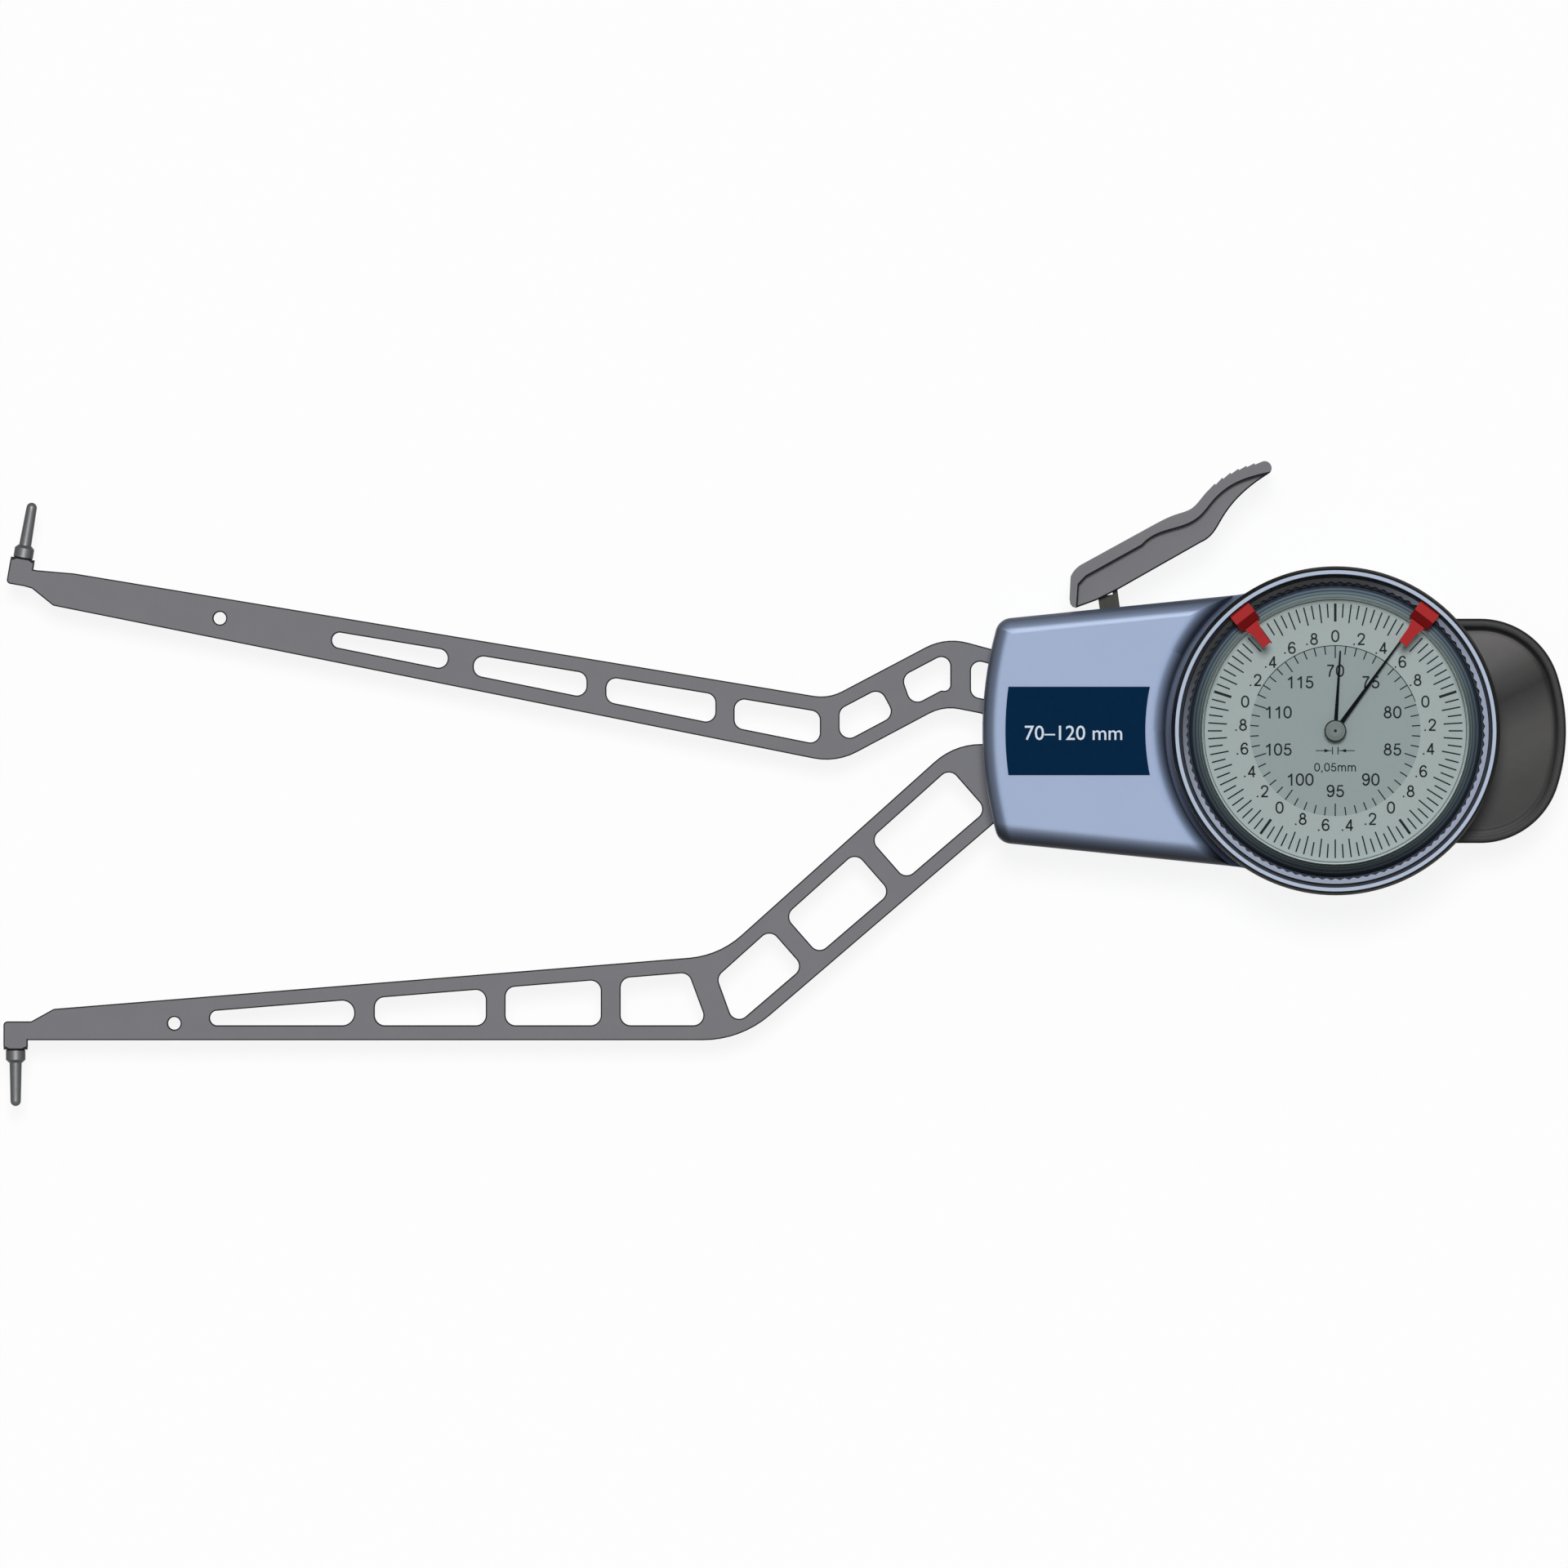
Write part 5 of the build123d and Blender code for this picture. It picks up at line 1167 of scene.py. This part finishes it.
@dataclass
class Lettering:
    """Plain figures drawn with a pen of even width, as a dial printer's are."""

    maker: Maker
    pen: float = 0.068
    curve_steps: int = 4
    figure_width: float = 0.777
    widths: dict[str, float] = field(default_factory=lambda: {".": 0.388, ",": 0.388, "m": 1.163})
    drawn: dict[str, bpy.types.Object] = field(default_factory=dict)

    def draw(self, figure: str) -> bpy.types.Object:
        """Draw one figure a millimetre high, once.

        Args:
            figure: The character.

        Returns:
            The pattern that is copied wherever the figure stands.
        """
        if figure not in self.drawn:
            strokes = [self.stroke(stroke) for stroke in FIGURES[figure]]
            self.drawn[figure] = self.maker.join(strokes, f"figure_{ord(figure)}")
        return self.drawn[figure]

    def stroke(self, stroke: Stroke) -> bpy.types.Object:
        """Turn one pen stroke into a mesh of even width.

        Args:
            stroke: Where the pen goes.

        Returns:
            The stroke on a cell a millimetre high.
        """
        self.maker.clear()
        bpy.ops.curve.primitive_bezier_curve_add(location=(0, 0, 0))
        made = bpy.context.view_layer.objects.active
        line = made.data
        line.splines.clear()
        path = line.splines.new("BEZIER")
        path.bezier_points.add(len(stroke.points) - 1)
        handle = "AUTO" if stroke.curved else "VECTOR"
        for point, (across, up) in zip(path.bezier_points, stroke.points):
            point.co = Vector((across, up, 0)) * MM
            point.handle_left_type = handle
            point.handle_right_type = handle
        path.use_cyclic_u = stroke.closed
        line.resolution_u = self.curve_steps if stroke.curved else 1
        line.bevel_depth = self.pen * MM
        line.bevel_resolution = 1
        line.use_fill_caps = not stroke.closed
        bpy.ops.object.convert(target="MESH")
        return bpy.context.view_layer.objects.active

    def write(self, text: str, middle: Vector, height: float) -> list[bpy.types.Object]:
        """Write a word, centred on a point.

        Args:
            text: The characters, all of them in FIGURES.
            middle: Centre of the word.
            height: Height of a figure.

        Returns:
            One object for each character.
        """
        widths = [self.widths.get(figure, self.figure_width) * height for figure in text]
        across = -sum(widths) / 2
        flat = PRINT_THICKNESS / (2 * self.pen * MM)
        made = []
        for figure, width in zip(text, widths):
            copy = self.maker.copied(self.draw(figure))
            copy.location = middle + Vector((across + width / 2, -height / 2, 0))
            copy.scale = (height / MM, height / MM, flat)
            across += width
            made.append(copy)
        return made

    def clear(self) -> None:
        """Delete the patterns."""
        self.maker.clear()
        for pattern in self.drawn.values():
            pattern.select_set(True)
        bpy.ops.object.delete()


@dataclass
class DivisionMark:
    """Value of one division below the middle of the dial, and the mark with arrows above it."""

    maker: Maker
    pen: Lettering
    text: str = "0,05mm"
    text_drop: float = 7.25 * MM
    text_height: float = 1.7 * MM
    mark_drop: float = 3.95 * MM
    upright_offset: float = 0.55 * MM
    upright_height: float = 1.5 * MM
    upright_width: float = 0.2 * MM
    shaft_offset: float = 2.3 * MM
    shaft_length: float = 3.2 * MM
    shaft_width: float = 0.17 * MM
    head_offset: float = 1.8 * MM
    head_radius: float = 0.5 * MM
    head_narrowing: float = 0.85
    head_stretch: float = 1.5

    def build(self, base: Vector) -> list[bpy.types.Object]:
        """Build the value, the two uprights and the two arrows.

        Args:
            base: Middle of the dial at the height of the print.

        Returns:
            One object for each character, bar and arrow head.
        """
        made = self.pen.write(self.text, base - Vector((0, self.text_drop, 0)), self.text_height)
        row = base - Vector((0, self.mark_drop, 0))
        for side in (-1, 1):
            upright = row + Vector((side * self.upright_offset, 0, 0))
            made.append(self.maker.bar(upright, self.upright_height, self.upright_width, 0))
            shaft = row + Vector((side * self.shaft_offset, 0, 0))
            made.append(self.maker.bar(shaft, self.shaft_length, self.shaft_width, math.pi / 2))
            made.append(self.arrow_head(row + Vector((side * self.head_offset, 0, 0)), side))
        return made

    def arrow_head(self, place: Vector, side: int) -> bpy.types.Object:
        """Build a small thin triangle that points to the middle of the mark.

        Args:
            place: Middle of the triangle.
            side: Minus one to the left of the mark, one to the right.

        Returns:
            The arrow head.
        """
        self.maker.clear()
        bpy.ops.mesh.primitive_cylinder_add(
            vertices=3,
            radius=self.head_radius,
            depth=PRINT_THICKNESS,
            location=place,
            rotation=(0, 0, side * math.pi / 2),
        )
        bpy.context.view_layer.objects.active.scale = (self.head_narrowing, self.head_stretch, 1)
        return self.maker.fixed()


@dataclass
class DialPrint:
    """Scale, figures and marks printed on the dial plate, with radii and bars in millimetres.

    One turn of the long hand is five millimetres and one turn of the short hand is fifty.
    """

    maker: Maker
    lift: float = 0.02 * MM
    turn_range: int = 5
    divisions: int = 100
    tick_outer: float = 25.4
    short_tick: float = 2.8
    long_tick: float = 3.75
    long_every: int = 2
    tick_width: float = 0.28
    zero_tick: float = 3.6
    zero_width: float = 0.52
    fractions: tuple[str, ...] = ("0", ".2", ".4", ".6", ".8")
    number_radius: float = 18.9
    number_height: float = 2.4 * MM
    first_number: int = 70
    full_range: int = 50
    inner_divisions: int = 50
    inner_radius: float = 17.0
    inner_tick: float = 1.7
    inner_long_tick: float = 2.5
    inner_width: float = 0.24
    inner_number_radius: float = 12.0
    inner_number_height: float = 2.45 * MM
    inner_arc_width: float = 0.16
    inner_arc_start: float = -66
    inner_arc_stop: float = 70
    rim_radius: float = 26.15
    rim_width: float = 0.1
    base: Vector = field(default_factory=Vector)

    def build(self) -> bpy.types.Object:
        """Build the whole print as one piece just above the dial plate.

        Returns:
            The print, which rides on the body of the dial.
        """
        self.base = Vector((0, 0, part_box("dial_plate")[1].z + self.lift))
        pen = Lettering(self.maker)
        marks = self.outer_ticks() + self.inner_ticks() + self.figures(pen)
        marks += DivisionMark(self.maker, pen).build(self.base)
        pen.clear()
        marks.append(self.ring(self.rim_radius, self.rim_width, -180, 180))
        marks.append(
            self.ring(self.inner_radius, self.inner_arc_width, self.inner_arc_start, self.inner_arc_stop)
        )
        printed = self.maker.join(marks, "dial_print")
        Ink("dial_ink", linear(22, 28, 30)).make().dress(printed)
        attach(printed, "bezel")
        return printed

    def ring(self, radius: float, width: float, start: float, stop: float) -> bpy.types.Object:
        """Thin circle or arc about the middle of the dial."""
        inner = (radius - width / 2) * MM
        return self.maker.band(self.base, inner, inner + width * MM, start, stop)

    def tick(self, outer: float, length: float, width: float, clock_angle: float) -> bpy.types.Object:
        """One line of the scale, along a radius."""
        middle = around(outer - length / 2, clock_angle) + self.base
        return self.maker.bar(middle, length * MM, width * MM, -math.radians(clock_angle))

    def outer_ticks(self) -> list[bpy.types.Object]:
        """Build the hundred divisions round the edge.

        Returns:
            One bar for each division, thick at a whole millimetre.
        """
        made = []
        for number in range(self.divisions):
            length = self.long_tick if number % self.long_every == 0 else self.short_tick
            width = self.tick_width
            if number % (self.divisions // self.turn_range) == 0:
                length = self.zero_tick
                width = self.zero_width
            made.append(self.tick(self.tick_outer, length, width, number * 360 / self.divisions))
        return made

    def inner_ticks(self) -> list[bpy.types.Object]:
        """Build the fifty divisions of the inner scale.

        Returns:
            One bar for each division, longer where a turn of the long hand ends.
        """
        made = []
        for number in range(self.inner_divisions):
            length = self.inner_long_tick if number % self.turn_range == 0 else self.inner_tick
            angle = number * 360 / self.inner_divisions
            made.append(self.tick(self.inner_radius, length, self.inner_width, angle))
        return made

    def figures(self, pen: Lettering) -> list[bpy.types.Object]:
        """Write the figures of both scales.

        Args:
            pen: What they are written with.

        Returns:
            One object for each character.
        """
        made = []
        labels = self.fractions * self.turn_range
        for number, text in enumerate(labels):
            middle = around(self.number_radius, number * 360 / len(labels)) + self.base
            made += pen.write(text, middle, self.number_height)
        turns = self.full_range // self.turn_range
        for number in range(turns):
            text = str(self.first_number + self.turn_range * number)
            middle = around(self.inner_number_radius, number * 360 / turns) + self.base
            made += pen.write(text, middle, self.inner_number_height)
        return made


@dataclass
class LabelPrint:
    """Measuring range printed on the name plate."""

    maker: Maker
    text: str = "70–120 mm"
    middle: Vector = field(default_factory=lambda: Vector((-52.2 * MM, -0.3 * MM, 0)))
    height: float = 3.0 * MM
    weight: float = 0.004
    lift: float = 0.02 * MM

    def build(self) -> bpy.types.Object:
        """Build the lettering just above the name plate.

        Returns:
            The lettering, which rides on the housing.
        """
        top = Vector((0, 0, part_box("name_plate")[1].z + self.lift))
        printed = self.maker.words(self.text, self.middle + top, self.height, self.weight)
        printed.name = "label_print"
        printed.data.name = "label_print"
        Ink("label_ink", linear(205, 216, 228)).make().dress(printed)
        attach(printed, "root")
        return printed


@dataclass
class RingMarks:
    """Two small index marks on the ring round the dial, at three and at six o'clock.

    Their radius, length and width are in millimetres.
    """

    maker: Maker
    clock_angles: tuple[int, ...] = (90, 180)
    radius: float = 27.25
    length: float = 0.9
    width: float = 0.4
    sink: float = 0.1 * MM
    height: float = 0.16 * MM
    soft_edge: float = 0.05 * MM

    def build(self) -> bpy.types.Object:
        """Build both marks, a little raised from the ring that carries them.

        Returns:
            The marks, which ride on the bezel.
        """
        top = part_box("inner_ring")[1].z
        made = [self.mark(top, clock_angle) for clock_angle in self.clock_angles]
        marks = self.maker.join(made, "ring_marks")
        Ink("ring_mark_ink", linear(18, 22, 26)).make().dress(marks)
        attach(marks, "bezel")
        return marks

    def mark(self, top: float, clock_angle: float) -> bpy.types.Object:
        """Build one raised bar with bevelled edges, sunk a little into the ring.

        Args:
            top: Height of the ring's flat top.
            clock_angle: Clockwise angle in degrees from the top of the dial.

        Returns:
            The bar.
        """
        self.maker.clear()
        middle = around(self.radius + self.length / 2, clock_angle) + Vector((0, 0, top - self.sink))
        bpy.ops.mesh.primitive_cube_add(
            size=1, location=middle, rotation=(0, 0, -math.radians(clock_angle))
        )
        made = bpy.context.view_layer.objects.active
        made.scale = (self.width * MM, self.length * MM, 2 * self.height)
        made = self.maker.fixed()
        bevel = made.modifiers.new("soft_edges", "BEVEL")
        bevel.width = self.soft_edge
        bevel.segments = 2
        bpy.ops.object.modifier_apply(modifier=bevel.name)
        return made


@dataclass
class Studio:
    """Floor, world, lamp and the camera that looks straight down."""

    centre: Vector = field(default_factory=lambda: Vector((-109.95 * MM, -10.6 * MM, 0)))
    frame_width: float = 312.96 * MM
    sharp_height: float = 16 * MM
    lens: float = 1000.0
    sensor: float = 36.0
    level: float = 0.91
    sky: float = 0.2
    lean: float = 14.0
    softness: float = 18.0
    floor_size: float = 6.0
    floor_drop: float = 0.02 * MM
    floor_white: float = 0.88
    paper: Colour = (0.95, 0.95, 0.95)

    def build(self) -> None:
        """Build the whole studio."""
        bpy.context.scene.view_settings.view_transform = "Standard"
        self.floor()
        self.world()
        self.lamp()
        self.camera()

    def seen_directly(self, wiring: Wiring) -> Signal:
        """Tell what the camera, a gloss or a clear part sees from what lights the object.

        Args:
            wiring: The node tree of the floor or the world.

        Returns:
            One for what is seen, zero for what lights.
        """
        path = wiring.node("ShaderNodeLightPath")
        seen = Signal(wiring, path.outputs["Is Camera Ray"])
        for ray in ("Is Glossy Ray", "Is Transmission Ray"):
            seen = seen.maths("MAXIMUM", Signal(wiring, path.outputs[ray]))
        return seen

    def floor(self) -> None:
        """Pale floor under the gauge that keeps a faint shadow."""
        bpy.ops.object.select_all(action="DESELECT")
        bpy.ops.mesh.primitive_plane_add(size=self.floor_size, location=(0, 0, -self.floor_drop))
        floor = bpy.context.view_layer.objects.active
        floor.name = "studio_floor"
        finish = Finish("studio_floor", specular=0.1, roughness=0.9)
        finish.shader.inputs["Base Color"].default_value = (*self.paper, 1)
        white = finish.node("ShaderNodeEmission", inputs={"Color": (1, 1, 1, 1), "Strength": 1.0})
        share = self.seen_directly(finish) * self.floor_white
        pair = {0: share, 1: finish.shader.outputs[0], 2: white.outputs[0]}
        mixed = finish.node("ShaderNodeMixShader", inputs=pair)
        out = finish.tree.nodes["Material Output"]
        finish.tree.links.new(mixed.outputs[0], out.inputs["Surface"])
        finish.dress(floor)

    def world(self) -> None:
        """Even sky that is white to the camera, in gloss and through glass."""
        world = bpy.data.worlds.new("studio_world")
        world.use_nodes = True
        bpy.context.scene.world = world
        wiring = Wiring(world.node_tree)
        sky = world.node_tree.nodes["Background"]
        sky.inputs["Color"].default_value = (1, 1, 1, 1)
        sky.inputs["Strength"].default_value = self.sky
        white = wiring.node("ShaderNodeBackground", inputs={"Color": (1, 1, 1, 1), "Strength": 1.0})
        seen = self.seen_directly(wiring)
        pair = {0: seen, 1: sky.outputs[0], 2: white.outputs[0]}
        mixed = wiring.node("ShaderNodeMixShader", inputs=pair)
        out = world.node_tree.nodes["World Output"]
        wiring.tree.links.new(mixed.outputs[0], out.inputs["Surface"])

    def lamp(self) -> None:
        """One soft sun from the side of the lever, so that a level face shows its own colour."""
        lean = math.radians(self.lean)
        bpy.ops.object.light_add(type="SUN", rotation=(-lean, 0, 0))
        key = bpy.context.view_layer.objects.active
        key.name = "key_sun"
        key.data.energy = (self.level - self.sky) * math.pi / math.cos(lean)
        key.data.angle = math.radians(self.softness)

    def camera(self) -> None:
        """Long lens straight above the middle of the picture."""
        distance = self.frame_width * self.lens / self.sensor
        place = self.centre + Vector((0, 0, self.sharp_height + distance))
        bpy.ops.object.camera_add(location=place, rotation=(0, 0, 0))
        camera = bpy.context.view_layer.objects.active
        camera.name = "camera"
        camera.data.lens = self.lens
        camera.data.sensor_width = self.sensor
        camera.data.clip_end = 2 * distance
        bpy.context.scene.camera = camera


class Makes(Protocol):
    """Anything that can make a finish."""

    def make(self) -> Finish:
        """Build the material."""


@dataclass
class Gauge:
    """The CAD nodes of the gauge, dressed, with the pieces that this script adds."""

    nodes: dict[str, bpy.types.Object]
    grip_rim_height: float = 1.9 * MM
    maker: Maker = field(default_factory=Maker)
    dressed: set[str] = field(default_factory=set)

    def build(self) -> None:
        """Dress the nodes and build the added pieces."""
        self.dress_housing()
        self.dress_dial()
        self.dress_metal()
        for printed in (DialPrint(self.maker), LabelPrint(self.maker), RingMarks(self.maker)):
            LOG.info("%s built", printed.build().name)

    def dress(self, finish: Makes, *names: str) -> None:
        """Give a finish to nodes by name."""
        finish.make().dress(*[self.nodes[name] for name in names])
        self.dressed.update(names)

    def dress_housing(self) -> None:
        """Housing, cover, label and grip."""
        self.dress(Lacquer(), "housing_shell")
        self.dress(Plastic("cover_plastic", linear(120, 134, 160)), "back_cover")
        self.dress(Plastic("label_navy", linear(1, 37, 68), least_rough=0.54, specular=0.02), "name_plate")
        rim_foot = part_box("end_grip")[1].z - self.grip_rim_height
        self.dress(GripRubber(rim_foot), "end_grip")
        LOG.info("housing dressed")

    def dress_dial(self) -> None:
        """Bezel, dial, crystal, hands and markers."""
        self.dress(BezelPlastic(), "bezel_ring")
        self.dress(DialRing(), "inner_ring")
        self.dress(DialSheet(), "dial_plate")
        black = Plastic("hand_black", linear(4, 4, 6), least_rough=0.54, specular=0.0)
        self.dress(black, "long_hand", "short_hand")
        grey = Plastic(
            "cap_grey", linear(118, 128, 127), least_rough=0.39, specular=0.1, shade=EdgeShade.BROKEN
        )
        self.dress(grey, "hub_cap")
        rubber = Plastic("seal_rubber", linear(20, 20, 20), least_rough=0.74, specular=0.05)
        self.dress(rubber, "bezel_seal")
        red = Plastic(
            "marker_red", linear(168, 22, 25), least_rough=0.29, specular=0.07, shade=EdgeShade.BEVELLED
        )
        self.dress(red, "left_marker", "right_marker")
        self.dress(Crystal(), "crystal")
        LOG.info("dial dressed")

    def dress_metal(self) -> None:
        """Arms, contacts, lever, and all that is left, which is the works inside."""
        self.dress(BlastedPlate(), "fixed_arm", "moving_arm")
        self.dress(BlastedPlate("lever_grey"), "thumb_lever")
        steel = Plastic("dark_steel", linear(66, 66, 62), least_rough=0.44, specular=0.1)
        self.dress(steel, "lever_fork", "lever_crank")
        collar = TurnedMetal(
            "collar_gunmetal", linear(102, 103, 104), least_rough=0.38, shade=EdgeShade.BAR
        )
        self.dress(collar, "fixed_contact_collar", "moving_contact_collar")
        pin = TurnedMetal(
            "contact_gunmetal", linear(105, 106, 107), least_rough=0.33, shade=EdgeShade.BAR
        )
        self.dress(pin, "fixed_contact_pin", "moving_contact_pin")
        brass = TurnedMetal("cut_brass", linear(200, 165, 95))
        self.dress(brass, "gear_sector", "idler_wheel", "transfer_gear", "short_hand_wheel")
        self.dress(brass, "arbor_bushes", "pivot_bush", "hairspring")
        works = [name for name in self.nodes if name not in self.dressed]
        self.dress(TurnedMetal("turned_steel", linear(150, 150, 148)), *works)
        LOG.info("metal dressed")


def main() -> None:
    """Build everything in order."""
    logging.basicConfig(level=logging.INFO, format="%(name)s: %(message)s")
    bpy.ops.object.select_all(action="SELECT")
    bpy.ops.object.delete()
    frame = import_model()
    bpy.ops.object.select_all(action="DESELECT")
    Studio().build()
    Gauge(frame["nodes"]).build()
    LOG.info("scene built")


if __name__ == "__main__":
    main()
